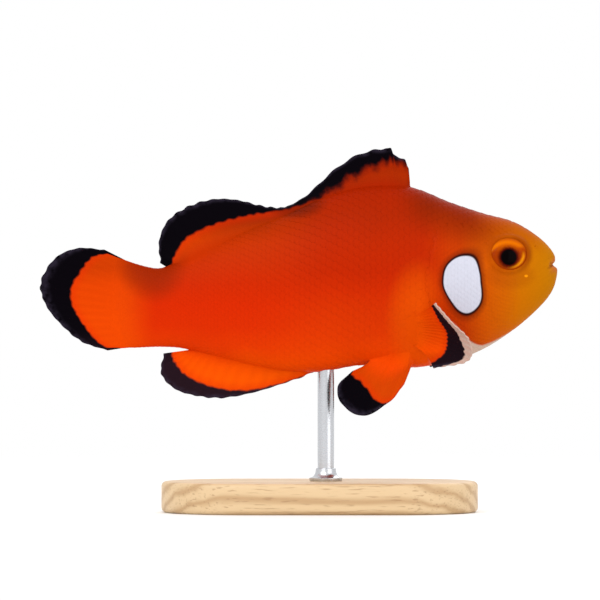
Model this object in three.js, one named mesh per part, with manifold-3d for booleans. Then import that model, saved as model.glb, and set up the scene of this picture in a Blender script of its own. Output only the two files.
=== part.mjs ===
// A clownfish (Amphiprion ocellaris) swimming level on a small display stand.
//
// Millimetres, +Z up, the head toward +X and the fish's right side toward -Y. The origin is on
// the table, under the middle of the whole model. Heights in the fish are measured from its
// long axis, which runs FISH_HEIGHT above the table.

import * as THREE from 'three';
import { LoftGeometry } from 'three/addons/geometries/LoftGeometry.js';
import { mergeVertices } from 'three/addons/utils/BufferGeometryUtils.js';
import Module from 'manifold-3d';

const wasm = await Module();
wasm.setup();

// Driving dimensions.

const FISH_HEIGHT = 33;
const SNOUT_X = 37.6;
const TAIL_ROOT_X = -25;
const PART_GAP = 0.3;

// The trunk and head: how far forward each section lies, then the height of the back, the
// height of the belly and half the width there.
const BODY_SECTIONS = [
  [SNOUT_X, 2.5, 2.5, 0],
  [36.8, 4.95, -0.85, 1.9],
  [34.5, 7.25, -3.6, 3.4],
  [31, 9.3, -6.6, 4.8],
  [27, 10.35, -9.25, 5.7],
  [22, 12.1, -11.2, 6.3],
  [16, 14.25, -12, 6.4],
  [9, 14.3, -11.65, 6.2],
  [3, 12.6, -12.6, 5.8],
  [-2, 10.3, -12.55, 5.1],
  [-7, 8.4, -11.7, 4.3],
  [-12, 6.2, -10.5, 3.5],
  [-17, 3.8, -9.2, 2.6],
  [-20, 2.5, -9.0, 2.1],
  [-22, 2.65, -9.05, 1.6],
  [TAIL_ROOT_X, 3.55, -9.2, 0.7],
];
const WIDEST_LEVEL = 0.53;
const BACK_FULLNESS = 1.05;
const BELLY_FULLNESS = 0.85;
const SECTIONS_ALONG = 32;
const POINTS_AROUND = 26;
const SNOUT_CROWDING = 1.5;
const SNOUT_FLAT = 0.35;

const EYE = { x: 30.5, z: 4.25, depth: 1.05, radius: 2.55, thickness: 1.75, forward: 0.2 };

const GILL_COVER_RISE = 0.25;
const GILL_COVER_THICKNESS = 1;
const GILL_POCKET_DEPTH = 1.4;

const FIN_MARGIN = 0.5;
const RAY_RISE = 0.22;
const FIN_FLARE = 1;
const FIN_ROWS = 3;
const FIN_SINK = 1.3;

const ROD_X = 3.9;
const ROD_RADIUS = 1.2;
const COLLAR = { footRadius: 2.4, topRadius: 1.5, height: 1.6 };
const BASE = { x: 3, length: 46, width: 25, height: 4.5, corner: 12.4, bevel: 0.7 };

const ORANGE = { color: 0xdc3f04, roughness: 0.45, metalness: 0 };
const AMBER = { color: 0xd06206, roughness: 0.45, metalness: 0 };
const BLACK_EDGED = { color: 0xc93c08, roughness: 0.5, metalness: 0 };
const EYE_BLACK = { color: 0x120808, roughness: 0.1, metalness: 0 };
const WOOD = { color: 0xc9a878, roughness: 0.5, metalness: 0 };
const STEEL = { color: 0xb8babd, roughness: 0.3, metalness: 1 };

// Solids and meshes.

function solidOf(geometry) {
  const bare = new THREE.BufferGeometry().copy(geometry);
  bare.deleteAttribute('normal');
  bare.deleteAttribute('uv');
  const merged = mergeVertices(bare, 1e-4);
  return new wasm.Manifold(new wasm.Mesh({
    numProp: 3,
    vertProperties: merged.attributes.position.array,
    triVerts: new Uint32Array(merged.index.array),
  }));
}

function geometryOf(solid) {
  const { vertProperties, triVerts } = solid.getMesh();
  const geometry = new THREE.BufferGeometry();
  geometry.setAttribute('position', new THREE.BufferAttribute(vertProperties, 3));
  geometry.setIndex(new THREE.BufferAttribute(triVerts, 1));
  geometry.computeVertexNormals();
  return geometry;
}

function named(name, solid, finish) {
  const mesh = new THREE.Mesh(geometryOf(solid), new THREE.MeshStandardMaterial(finish));
  mesh.name = name;
  return mesh;
}

// An outline drawn on the side view, given as [x, z] corners, cut through from yLow to yHigh.
function sidePlate(outline, yLow, yHigh) {
  const shape = new THREE.Shape(outline.map(([x, z]) => new THREE.Vector2(x, z)));
  const geometry = new THREE.ExtrudeGeometry(shape, { depth: yHigh - yLow, bevelEnabled: false });
  geometry.rotateX(Math.PI / 2);
  geometry.translate(0, yHigh, 0);
  return solidOf(geometry);
}

// Points on a smooth line through the given [x, z] points, moved by dx.
function smoothLine(points, dx = 0, steps = 14) {
  const line = new THREE.SplineCurve(points.map(([x, z]) => new THREE.Vector2(x + dx, z)));
  return line.getPoints(steps).map(({ x, y }) => [x, y]);
}

// The body. Its heights and widths are smooth in the square root of the distance behind the
// snout, which is what rounds the snout off.

const behindSnout = (x) => Math.sqrt(Math.max(SNOUT_X - x, 0));

const bodyCurve = new THREE.CubicInterpolant(
  BODY_SECTIONS.map(([x]) => behindSnout(x)),
  BODY_SECTIONS.flatMap(([, back, belly, half]) => [back, belly, half]),
  3,
);

function bodyAt(x) {
  const [back, belly, half] = bodyCurve.evaluate(behindSnout(x));
  return { back, belly, half, middle: belly + WIDEST_LEVEL * (back - belly) };
}

// Half the body's width at a point of the side view.
function halfWidthAt(x, z) {
  const { back, belly, half, middle } = bodyAt(x);
  const reach = z > middle ? back - middle : middle - belly;
  const fullness = z > middle ? BACK_FULLNESS : BELLY_FULLNESS;
  const level = Math.min(Math.abs(z - middle) / reach, 1);
  return half * Math.sqrt(1 - level * level) ** fullness;
}

// The body's outer surface moved outwards by grow, or inwards where grow is negative.
function bodySolid(grow = 0) {
  const thin = 0.05;
  const sections = [];
  for (let i = 0; i <= SECTIONS_ALONG; i += 1) {
    const along = (i + SNOUT_FLAT) / (SECTIONS_ALONG + SNOUT_FLAT);
    const x = SNOUT_X - (SNOUT_X - TAIL_ROOT_X) * along ** SNOUT_CROWDING;
    const { back, belly, half, middle } = bodyAt(x);
    const ring = [];
    for (let j = 0; j < POINTS_AROUND; j += 1) {
      const angle = (2 * Math.PI * j) / POINTS_AROUND;
      const up = Math.cos(angle);
      const side = Math.sin(angle);
      const reach = Math.max((up > 0 ? back - middle : middle - belly) + grow, thin);
      const width = Math.max(half + grow, thin);
      const fullness = up > 0 ? BACK_FULLNESS : BELLY_FULLNESS;
      const y = Math.sign(side) * width * Math.abs(side) ** fullness;
      ring.push(new THREE.Vector3(x + grow * Math.cos(Math.PI * along), y, middle + up * reach));
    }
    sections.push(ring);
  }
  return solidOf(new LoftGeometry(sections, { capStart: true, capEnd: true }));
}

// Where the body is divided, on the side view: the gill opening from nape to throat, the front
// edge of the gill cover, the joint of the lower jaw, and the cut before the tail stalk.

const NAPE_TO_THROAT = [
  [18.2, 20], [20.1, 10.6], [19.2, 5.8], [18.6, 0.7], [19.3, -3.3], [21.7, -7.3], [25.1, -9.7], [26.6, -16],
];
const GILL_COVER_REAR = [
  [21.4, 8.3], [19.5, 6.2], [18.7, 3], [18.6, 0], [19.4, -3.5], [21.6, -7.1], [24.4, -8.7],
];
const GILL_COVER_FRONT = [[26.8, -7.6], [27.5, -4], [27.7, 0], [27.4, 4], [26.2, 7.3], [24, 8.8]];
const STALK_CUT = [[-16, 20], [-17.4, 0], [-17, -5], [-16, -16]];
const FAR = { ahead: 45, behind: -45, up: 30, down: -30, side: 20 };

const JAW_MOUTH = { x: 34.5, z: 1.3 };
const JAW_JOINT = { x: 31.4, z: -1.6 };
const JAW_THROAT_X = 31;
const LIP_Z = 2.75;
const LIP_OPENING = 0.8;

// The wedge of the lower jaw, widened all round by grow.
function jawOutline(grow) {
  const lip = LIP_Z - LIP_OPENING / 2 + grow * (LIP_OPENING / PART_GAP);
  return [
    [SNOUT_X + 1, lip],
    [JAW_MOUTH.x, JAW_MOUTH.z + grow],
    [JAW_JOINT.x - grow, JAW_JOINT.z + grow],
    [JAW_THROAT_X - grow, -12],
    [SNOUT_X + 1, -12],
  ];
}

// One outline pushed outwards from its middle by grow.
function widened(outline, grow) {
  const middleX = outline.reduce((sum, [x]) => sum + x, 0) / outline.length;
  const middleZ = outline.reduce((sum, [, z]) => sum + z, 0) / outline.length;
  return outline.map(([x, z]) => {
    const away = new THREE.Vector2(x - middleX, z - middleZ);
    away.setLength(away.length() + grow);
    return [middleX + away.x, middleZ + away.y];
  });
}

function eyeSolid(side, grow) {
  const geometry = new THREE.SphereGeometry(1, 18, 10);
  geometry.rotateX(Math.PI / 2);
  geometry.scale(EYE.radius + grow, EYE.thickness + grow, EYE.radius + grow);
  geometry.rotateZ(-side * EYE.forward);
  const y = side * (halfWidthAt(EYE.x, EYE.z) - EYE.depth);
  geometry.translate(EYE.x, y, EYE.z);
  return solidOf(geometry);
}

function gillCover(side) {
  const outline = [...smoothLine(GILL_COVER_REAR, 0, 12), ...smoothLine(GILL_COVER_FRONT, 0, 9)];
  const near = side > 0 ? 1 : -FAR.side;
  const far = side > 0 ? FAR.side : -1;
  const shell = bodySolid(GILL_COVER_RISE).subtract(bodySolid(GILL_COVER_RISE - GILL_COVER_THICKNESS));
  return {
    plate: shell.intersect(sidePlate(outline, near, far)),
    pocket: sidePlate(widened(outline, PART_GAP), near, far).subtract(bodySolid(-GILL_POCKET_DEPTH)),
  };
}

// Fins. Each is a blade that runs from a root line inside the body to the line of its ray
// tips. It is ridged along every ray, notched between the tips and flared at the root.

function finSolid({ root, tip, rays, notch = 0.04, bow = [0, 0, 0] }) {
  const rootLine = new THREE.CatmullRomCurve3(root.map((point) => new THREE.Vector3(...point)));
  const tipLine = new THREE.CatmullRomCurve3(tip.map((point) => new THREE.Vector3(...point)));
  const bulge = new THREE.Vector3(...bow);
  const sections = [];
  for (let i = 0; i <= 2 * rays; i += 1) {
    const across = i / (2 * rays);
    const onRay = i % 2 === 0;
    const start = rootLine.getPoint(across);
    const ray = tipLine.getPoint(across).sub(start);
    const normal = rootLine.getTangent(across).cross(ray).normalize();
    const near = [];
    const far = [];
    for (let j = 0; j <= FIN_ROWS; j += 1) {
      const out = j / FIN_ROWS;
      const reach = out * (onRay ? 1 : 1 - notch);
      const ridge = onRay ? RAY_RISE * (1 - out) : 0;
      const thickness = FIN_MARGIN + ridge + FIN_FLARE * (1 - out) ** 2.5;
      const point = start.clone().addScaledVector(ray, reach);
      point.addScaledVector(bulge, Math.sin(Math.PI * out));
      near.push(point.clone().addScaledVector(normal, -thickness / 2));
      far.unshift(point.clone().addScaledVector(normal, thickness / 2));
    }
    sections.push([...near, ...far]);
  }
  return solidOf(new LoftGeometry(sections, { capStart: true, capEnd: true }));
}

// Root lines of the fins on the middle plane, sunk a little under the back or the belly.
const onBack = (x) => [x, 0, bodyAt(x).back - FIN_SINK];
const onBelly = (x) => [x, 0, bodyAt(x).belly + FIN_SINK];
const onMiddle = ([x, z]) => [x, 0, z];

const SPINY_DORSAL = {
  rays: 10,
  notch: 0.05,
  root: [16.1, 15.3, 13.9, 11.6, 8.6, 5.4, 2.2, -0.8].map(onBack),
  tip: [
    [15.9, 16.9], [15.2, 18.5], [13.4, 19.7], [10.4, 19.8],
    [7.1, 18.4], [3.9, 15.9], [1.4, 13.5], [-1.4, 11.5],
  ].map(onMiddle),
};

const SOFT_DORSAL = {
  rays: 15,
  notch: 0.03,
  root: [-1.6, -4, -6.6, -9.2, -11.8, -14.2, -16.3, -18.2].map(onBack),
  tip: [
    [-2.1, 11.2], [-5.4, 11.5], [-9, 12.3], [-12.6, 12.45],
    [-16.2, 11.5], [-19.1, 9.3], [-20.4, 6.3], [-20.2, 3.2],
  ].map(onMiddle),
};

const ANAL = {
  rays: 14,
  notch: 0.03,
  root: [1.9, -1.6, -5, -8.4, -11.4, -14, -15.9, -17.2].map(onBelly),
  tip: [
    [2, -12.9], [-2, -14.25], [-6.6, -15.65], [-11.2, -16.5],
    [-15, -16.15], [-18.1, -15.1], [-19.9, -12.9], [-19.5, -10.2],
  ].map(onMiddle),
};

const CAUDAL = {
  rays: 15,
  notch: 0.03,
  root: [
    [-24.4, 3.2], [-23.6, 1.2], [-23.2, -0.6], [-23, -2.2],
    [-23, -3.8], [-23.2, -5.4], [-23.6, -7.1], [-24.4, -9],
  ].map(onMiddle),
  tip: [
    [-28.3, 5.15], [-32.2, 5.45], [-35.6, 3.85], [-37.65, 0.4],
    [-37, -2.9], [-34.8, -5.8], [-31.7, -8.4], [-27.8, -9.5],
  ].map(onMiddle),
};

// The paired fins are given for the left side, where Y is positive.
const PELVIC = {
  rays: 6,
  notch: 0.06,
  root: [
    [16.7, 2.3, -10.6], [15.5, 2.2, -10.7], [14.3, 2, -10.7],
    [13.1, 1.9, -10.7], [12.1, 1.8, -10.8], [11.2, 1.7, -11],
  ],
  tip: [
    [15, 4.4, -14.4], [12.9, 5.4, -16.8], [9.3, 6.1, -18.8],
    [6.6, 5.9, -17.7], [5.6, 4.8, -15.1], [6.9, 3.2, -13],
  ],
};

const PECTORAL = {
  rays: 12,
  notch: 0.04,
  root: [[17, 4.6, -4.5], [16.9, 4.5, -5.4], [16.7, 4.3, -6.4], [16.5, 3.9, -7.5], [16.2, 3.4, -8.6]],
  tip: [[19.6, 12, -2.6], [22.8, 14.3, -5.6], [25.8, 13.4, -8.4], [23.6, 10.8, -10.9], [19, 8.3, -11.9]],
  bow: [0.5, 0.5, 0.3],
};

const mirrored = (points, side) => points.map(([x, y, z]) => [x, side * y, z]);

function pairedFin({ root, tip, bow = [0, 0, 0], ...rest }, side) {
  const [bowed] = mirrored([bow], side);
  return finSolid({ root: mirrored(root, side), tip: mirrored(tip, side), bow: bowed, ...rest });
}

// The stand: a rod under the belly, a collar at its foot and a flat base with round ends.
// Heights are still measured from the fish's long axis.

function rodSolid(lowRadius, highRadius, low, high) {
  const geometry = new THREE.CylinderGeometry(highRadius, lowRadius, high - low, 24);
  geometry.rotateX(Math.PI / 2);
  geometry.translate(ROD_X, 0, (low + high) / 2);
  return solidOf(geometry);
}

function baseSolid() {
  const { x, length, width, height, corner, bevel } = BASE;
  const reachX = length / 2 - bevel;
  const reachY = width / 2 - bevel;
  const round = corner - bevel;
  const shape = new THREE.Shape();
  shape.absarc(x + reachX - round, reachY - round, round, 0, Math.PI / 2);
  shape.absarc(x - reachX + round, reachY - round, round, Math.PI / 2, Math.PI);
  shape.absarc(x - reachX + round, -reachY + round, round, Math.PI, 1.5 * Math.PI);
  shape.absarc(x + reachX - round, -reachY + round, round, 1.5 * Math.PI, 2 * Math.PI);
  const geometry = new THREE.ExtrudeGeometry(shape, {
    depth: height - 2 * bevel,
    bevelThickness: bevel,
    bevelSize: bevel,
    bevelSegments: 1,
    curveSegments: 6,
  });
  geometry.translate(0, 0, bevel - FISH_HEIGHT);
  return solidOf(geometry);
}

// The whole fish, parted with thin cuts.

const body = bodySolid();
const clearOfBody = bodySolid(PART_GAP);
const rightCover = gillCover(-1);
const leftCover = gillCover(1);

const headZone = sidePlate(
  [...smoothLine(NAPE_TO_THROAT), [FAR.ahead, FAR.down], [FAR.ahead, FAR.up]],
  -FAR.side,
  FAR.side,
);
const trunkZone = sidePlate(
  [...smoothLine(NAPE_TO_THROAT, -PART_GAP), ...smoothLine(STALK_CUT, 0, 6).reverse()],
  -FAR.side,
  FAR.side,
);
const stalkZone = sidePlate(
  [...smoothLine(STALK_CUT, -PART_GAP, 6), [FAR.behind, FAR.down], [FAR.behind, FAR.up]],
  -FAR.side,
  FAR.side,
);

const head = body
  .intersect(headZone)
  .subtract(sidePlate(jawOutline(PART_GAP), -FAR.side, FAR.side))
  .subtract(rightCover.pocket)
  .subtract(leftCover.pocket)
  .subtract(eyeSolid(-1, PART_GAP))
  .subtract(eyeSolid(1, PART_GAP));
const lowerJaw = body.intersect(sidePlate(jawOutline(0), -FAR.side, FAR.side));

const fish = new THREE.Group();
fish.position.z = FISH_HEIGHT;
fish.add(
  named('head', head, AMBER),
  named('lower_jaw', lowerJaw, AMBER),
  named('gill_cover_right', rightCover.plate, AMBER),
  named('gill_cover_left', leftCover.plate, AMBER),
  named('eye_right', eyeSolid(-1, 0), EYE_BLACK),
  named('eye_left', eyeSolid(1, 0), EYE_BLACK),
  named('trunk', body.intersect(trunkZone), ORANGE),
  named('tail_stalk', body.intersect(stalkZone), ORANGE),
  named('dorsal_fin_spiny', finSolid(SPINY_DORSAL).subtract(clearOfBody), BLACK_EDGED),
  named('dorsal_fin_soft', finSolid(SOFT_DORSAL).subtract(clearOfBody), BLACK_EDGED),
  named('anal_fin', finSolid(ANAL).subtract(clearOfBody), BLACK_EDGED),
  named('caudal_fin', finSolid(CAUDAL).subtract(clearOfBody), BLACK_EDGED),
  named('pelvic_fin_right', pairedFin(PELVIC, -1).subtract(clearOfBody), BLACK_EDGED),
  named('pelvic_fin_left', pairedFin(PELVIC, 1).subtract(clearOfBody), BLACK_EDGED),
  named('pectoral_fin_right', pairedFin(PECTORAL, -1).subtract(clearOfBody), BLACK_EDGED),
  named('pectoral_fin_left', pairedFin(PECTORAL, 1).subtract(clearOfBody), BLACK_EDGED),
);

const collarFoot = BASE.height - FISH_HEIGHT + PART_GAP;
const collarTop = collarFoot + COLLAR.height;
const collar = rodSolid(COLLAR.footRadius, COLLAR.topRadius, collarFoot, collarTop);
const rod = rodSolid(ROD_RADIUS, ROD_RADIUS, collarTop + PART_GAP, bodyAt(ROD_X).belly + 1);
fish.add(
  named('stand_rod', rod.subtract(clearOfBody), STEEL),
  named('stand_collar', collar, STEEL),
  named('stand_base', baseSolid(), WOOD),
);

const model = new THREE.Group();
model.add(fish);

export default model;
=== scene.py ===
"""A clownfish that swims level on a small display stand: its looks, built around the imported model.

The fish is shaped in millimetres, measured from its long axis, with the head toward +X and its right
side toward -Y. Each finished piece is then set into the model's frame, in metres.
"""

import logging
import math
from collections.abc import Iterator, Mapping, Sequence
from contextlib import contextmanager
from dataclasses import dataclass, field, replace
from enum import Enum

import bpy
import numpy as np
from mathutils import Matrix, Vector
from mathutils.bvhtree import BVHTree


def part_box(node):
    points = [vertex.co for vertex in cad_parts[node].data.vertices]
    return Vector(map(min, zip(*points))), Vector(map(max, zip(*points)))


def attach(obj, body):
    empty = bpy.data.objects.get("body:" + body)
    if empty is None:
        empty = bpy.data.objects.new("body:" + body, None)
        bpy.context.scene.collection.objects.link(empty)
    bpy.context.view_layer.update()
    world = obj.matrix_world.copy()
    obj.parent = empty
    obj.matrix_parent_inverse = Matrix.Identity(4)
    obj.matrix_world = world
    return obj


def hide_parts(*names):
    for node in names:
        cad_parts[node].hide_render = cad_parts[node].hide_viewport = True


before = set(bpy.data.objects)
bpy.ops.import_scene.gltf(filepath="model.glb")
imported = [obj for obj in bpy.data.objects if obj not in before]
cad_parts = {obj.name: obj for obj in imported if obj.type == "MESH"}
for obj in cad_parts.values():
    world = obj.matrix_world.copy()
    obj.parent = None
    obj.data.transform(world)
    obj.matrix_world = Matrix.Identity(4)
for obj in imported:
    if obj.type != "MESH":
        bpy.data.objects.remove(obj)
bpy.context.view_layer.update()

log = logging.getLogger("clownfish")

Array = np.ndarray
Colour = tuple[float, float, float, float]
Line = tuple[tuple[float, ...], ...]
Tint = tuple[int, int, int]
Stops = tuple[tuple[float, Tint], ...]

MM = 0.001
BODY = "root"


class Side(Enum):
    """The two sides of the fish, each with the sign of its Y."""

    RIGHT = -1
    LEFT = 1


class Flesh(Enum):
    """What a face of the skin belongs to, as the second coordinate of its ray map. Fins run from 0 to 1."""

    BODY = -1.0
    HOLLOW = -2.0


# --- Numbers and lines ---


def paint(red: float, green: float, blue: float, gain: float = 1.0) -> Colour:
    """Turns a colour as a screen shows it into the light that it stands for.

    Args:
        red: The red part, from 0 to 255.
        green: The green part, from 0 to 255.
        blue: The blue part, from 0 to 255.
        gain: What the light is multiplied by.

    Returns:
        The linear colour, with an alpha of 1.
    """
    shares = [value / 255 for value in (red, green, blue)]
    light = [share / 12.92 if share <= 0.04045 else ((share + 0.055) / 1.055) ** 2.4 for share in shares]
    return (light[0] * gain, light[1] * gain, light[2] * gain, 1.0)


def step(values: Array, low: float, high: float) -> Array:
    """Rises smoothly from 0 at low to 1 at high, or falls where low is the larger."""
    share = np.clip((values - low) / (high - low), 0, 1)
    return share * share * (3 - 2 * share)


def window(values: Array, start: float, full: float, fade: float, end: float) -> Array:
    """Rises smoothly from 0 to 1 between start and full, and falls back between fade and end."""
    return step(values, start, full) * step(values, end, fade)


def hump(values: Array, centre: float, width: float) -> Array:
    """Is 1 at centre and falls off on both sides over about width."""
    return np.exp(-(((values - centre) / width) ** 2))


def folds(distance: Array, humps: Line) -> Array:
    """Adds up humps, each given by its height, the distance where it stands and its width."""
    return sum(height * hump(distance, place, width) for height, place, width in humps)


def along_line(points: Line | Array, share: Array) -> Array:
    """Follows a smooth line through points.

    Args:
        points: The points, or single numbers, that the line passes at equal steps of share.
        share: How far along to read it, from 0 to 1.

    Returns:
        One row for each share.
    """
    knots = np.asarray(points, float)
    if knots.ndim == 1:
        knots = knots[:, None]
    last = len(knots) - 1
    padded = np.vstack([2 * knots[0] - knots[1], knots, 2 * knots[last] - knots[last - 1]])
    place = np.clip(np.asarray(share, float), 0, 1) * last
    index = np.minimum(place.astype(int), last - 1)
    part = (place - index)[:, None]
    before, start, end, after = (padded[index + offset] for offset in range(4))
    bend = 2 * before - 5 * start + 4 * end - after
    swing = -before + 3 * start - 3 * end + after
    return 0.5 * (2 * start + (end - before) * part + bend * part**2 + swing * part**3)


def line_distance(places: Array, line: Array) -> tuple[Array, Array]:
    """Measures how far points lie from a line of straight pieces.

    Args:
        places: The points, one row of two coordinates each.
        line: The corners of the line.

    Returns:
        The distances, positive on the left of the line's direction, and how far along it each
        point's nearest place is, from 0 to 1.
    """
    nearest = np.full(len(places), np.inf)
    sign = np.ones(len(places))
    share = np.zeros(len(places))
    pieces = len(line) - 1
    for index in range(pieces):
        start = line[index]
        run = line[index + 1] - start
        offset = places - start
        part = np.clip(offset @ run / (run @ run), 0, 1)
        gap = offset - part[:, None] * run
        distance = np.hypot(gap[:, 0], gap[:, 1])
        closer = distance < nearest
        nearest = np.where(closer, distance, nearest)
        sign = np.where(closer, np.sign(run[0] * offset[:, 1] - run[1] * offset[:, 0]), sign)
        share = np.where(closer, (index + part) / pieces, share)
    return nearest * sign, share


# --- Mesh work ---


def select_only(*objects: bpy.types.Object) -> None:
    """Selects these objects alone and makes the first one active."""
    for other in bpy.context.selected_objects:
        other.select_set(False)
    for chosen in objects:
        chosen.select_set(True)
    bpy.context.view_layer.objects.active = objects[0]


@contextmanager
def editing(piece: bpy.types.Object) -> Iterator[None]:
    """Holds a piece in edit mode."""
    select_only(piece)
    bpy.ops.object.mode_set(mode="EDIT")
    try:
        yield
    finally:
        bpy.ops.object.mode_set(mode="OBJECT")


def rows_of(items: bpy.types.bpy_prop_collection, name: str) -> Array:
    """Reads one vector of each point or face of a mesh, one row each."""
    flat = np.empty(len(items) * 3)
    items.foreach_get(name, flat)
    return flat.reshape(-1, 3)


def points_of(piece: bpy.types.Object) -> Array:
    """Reads the points of a piece."""
    return rows_of(piece.data.vertices, "co")


def set_points(piece: bpy.types.Object, points: Array) -> None:
    """Moves the points of a piece."""
    piece.data.vertices.foreach_set("co", points.astype(np.float32).ravel())
    piece.data.update()


def choose(piece: bpy.types.Object, mask: Array, faces: bool = False) -> None:
    """Leaves only the masked points, or faces, of a piece selected for edit mode."""
    bpy.context.tool_settings.mesh_select_mode = (not faces, False, faces)
    chosen = "polygons" if faces else "vertices"
    for kind in ("vertices", "edges", "polygons"):
        items = getattr(piece.data, kind)
        items.foreach_set("select", mask if kind == chosen else np.zeros(len(items), bool))


def apply_place(piece: bpy.types.Object) -> None:
    """Puts a piece's place, turn and size into its mesh."""
    select_only(piece)
    bpy.ops.object.transform_apply(location=True, rotation=True, scale=True)


def finish_with(piece: bpy.types.Object, kind: str, **settings: object) -> None:
    """Adds a modifier to a piece and applies it.

    Args:
        piece: The piece.
        kind: The modifier's type.
        settings: The modifier's own settings.
    """
    modifier = piece.modifiers.new(kind.lower(), kind)
    for name, value in settings.items():
        setattr(modifier, name, value)
    select_only(piece)
    bpy.ops.object.modifier_apply(modifier=modifier.name)


def combine(piece: bpy.types.Object, others: Sequence[bpy.types.Object], operation: str) -> None:
    """Joins solids to a piece, or cuts them out of it, and removes them.

    Args:
        piece: The piece that stays.
        others: The solids that are used up.
        operation: UNION or DIFFERENCE.
    """
    group = bpy.data.collections.new("solids")
    for other in others:
        group.objects.link(other)
    settings = {"solver": "EXACT", "operand_type": "COLLECTION", "collection": group}
    finish_with(piece, "BOOLEAN", operation=operation, **settings)
    for other in others:
        bpy.data.objects.remove(other)
    bpy.data.collections.remove(group)


def face_outwards(piece: bpy.types.Object) -> None:
    """Turns every face of a closed piece outwards."""
    with editing(piece):
        bpy.ops.mesh.select_all(action="SELECT")
        bpy.ops.mesh.normals_make_consistent(inside=False)


def corner_points(piece: bpy.types.Object) -> Array:
    """Reads which point each face corner of a piece is at."""
    corners = np.empty(len(piece.data.loops), int)
    piece.data.loops.foreach_get("vertex_index", corners)
    return corners


def map_corners(piece: bpy.types.Object, name: str, values: Array) -> None:
    """Writes a UV map of a piece.

    Args:
        piece: The piece.
        name: The map's name.
        values: Two numbers for each point, or one pair for the whole piece.
    """
    layer = piece.data.uv_layers.get(name) or piece.data.uv_layers.new(name=name)
    pairs = np.broadcast_to(np.asarray(values, float), (len(piece.data.vertices), 2))
    layer.data.foreach_set("uv", pairs[corner_points(piece)].astype(np.float32).ravel())


RAY_MAP = "ray"
INK_MAP = "ink"
SCALE_MAP = "scale"
BAKE_MAP = "OFBake"
NO_INK = -9.0


def mark_flesh(piece: bpy.types.Object, flesh: Flesh) -> None:
    """Marks a whole piece as one kind of flesh, with no fin markings."""
    map_corners(piece, RAY_MAP, np.array([0.0, flesh.value]))
    map_corners(piece, INK_MAP, np.array([NO_INK, NO_INK]))


@dataclass(frozen=True)
class Anchor:
    """Where the fish's own frame lies in the model's, worked out from its right eye."""

    eye_x: float = 30.5
    eye_z: float = 4.25

    @property
    def origin(self) -> Vector:
        """Returns the start of the fish's long axis, in metres."""
        low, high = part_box("eye_right")
        centre = (low + high) / 2
        return Vector((centre.x - self.eye_x * MM, 0, centre.z - self.eye_z * MM))

    def settle(self, piece: bpy.types.Object) -> None:
        """Takes a piece from the fish's millimetres to the model's metres."""
        piece.data.transform(Matrix.Translation(self.origin) @ Matrix.Scale(MM, 4))
        piece.data.update()

    def place(self, shader: "Shader") -> bpy.types.NodeSocket:
        """Reads the place on a piece in the fish's millimetres."""
        return shader.place((1 / MM,) * 3, (-self.origin.x / MM, 0, -self.origin.z / MM))


def present(
    piece: bpy.types.Object, name: str, material: bpy.types.Material, nodes: Sequence[str] = ()
) -> None:
    """Names a finished piece, dresses it and tells the frame what it stands for.

    Args:
        piece: The piece, with its place in its mesh.
        name: Its name.
        material: Its finish.
        nodes: The nodes that it replaces.
    """
    piece.name = name
    piece.data.name = name
    piece.data.materials.clear()
    piece.data.materials.append(material)
    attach(piece, BODY)
    if nodes:
        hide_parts(*nodes)
    piece.data.calc_loop_triangles()
    log.info("%s: %d triangles", name, len(piece.data.loop_triangles))


# --- Shader work ---


class Value:
    """A number that varies over a surface. Sums with it add Math nodes."""

    def __init__(self, shader: "Shader", socket: bpy.types.NodeSocket) -> None:
        """Wraps a socket of a shader."""
        self.shader = shader
        self.socket = socket

    def math(self, operation: str, *others: "Value | float", swap: bool = False) -> "Value":
        """Adds one Math node.

        Args:
            operation: The node's operation.
            others: What it takes after this value.
            swap: Whether this value comes second.

        Returns:
            The result.
        """
        terms = [self, *others]
        if swap:
            terms.reverse()
        sockets = {index: getattr(term, "socket", term) for index, term in enumerate(terms)}
        node = self.shader.node("ShaderNodeMath", {"operation": operation}, sockets)
        return Value(self.shader, node.outputs[0])

    def __add__(self, other: "Value | float") -> "Value":
        """Adds another number."""
        return self.math("ADD", other)

    __radd__ = __add__

    def __mul__(self, other: "Value | float") -> "Value":
        """Multiplies by another number."""
        return self.math("MULTIPLY", other)

    __rmul__ = __mul__

    def __sub__(self, other: "Value | float") -> "Value":
        """Takes another number away."""
        return self.math("SUBTRACT", other)

    def __rsub__(self, other: float) -> "Value":
        """Takes this value away from a number."""
        return self.math("SUBTRACT", other, swap=True)

    def __truediv__(self, other: "Value | float") -> "Value":
        """Divides by another number."""
        return self.math("DIVIDE", other)

    def __rtruediv__(self, other: float) -> "Value":
        """Divides a number by this value."""
        return self.math("DIVIDE", other, swap=True)

    def __pow__(self, other: "Value | float") -> "Value":
        """Raises to a power."""
        return self.math("POWER", other)

    def __abs__(self) -> "Value":
        """Drops the sign."""
        return self.math("ABSOLUTE")

    def sine(self) -> "Value":
        """Takes the sine of an angle in radians."""
        return self.math("SINE")

    def least(self, other: "Value | float") -> "Value":
        """Takes the smaller of two numbers."""
        return self.math("MINIMUM", other)

    def most(self, other: "Value | float") -> "Value":
        """Takes the larger of two numbers."""
        return self.math("MAXIMUM", other)

    def above(self, limit: float) -> "Value":
        """Is 1 over a limit and 0 under it."""
        return self.math("GREATER_THAN", limit)

    def step(self, low: float, high: float) -> "Value":
        """Rises smoothly from 0 at low to 1 at high, or falls where low is the larger."""
        sockets = {"Value": self.socket, "From Min": low, "From Max": high}
        node = self.shader.node("ShaderNodeMapRange", {"interpolation_type": "SMOOTHSTEP"}, sockets)
        return Value(self.shader, node.outputs[0])

    def window(self, start: float, full: float, fade: float, end: float) -> "Value":
        """Rises smoothly from 0 to 1 between start and full, and falls back between fade and end."""
        return self.step(start, full) * self.step(end, fade)

    def hump(self, centre: float, width: float) -> "Value":
        """Is 1 at centre and falls to 0 at width on both sides."""
        return abs(self - centre).step(width, 0)


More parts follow.
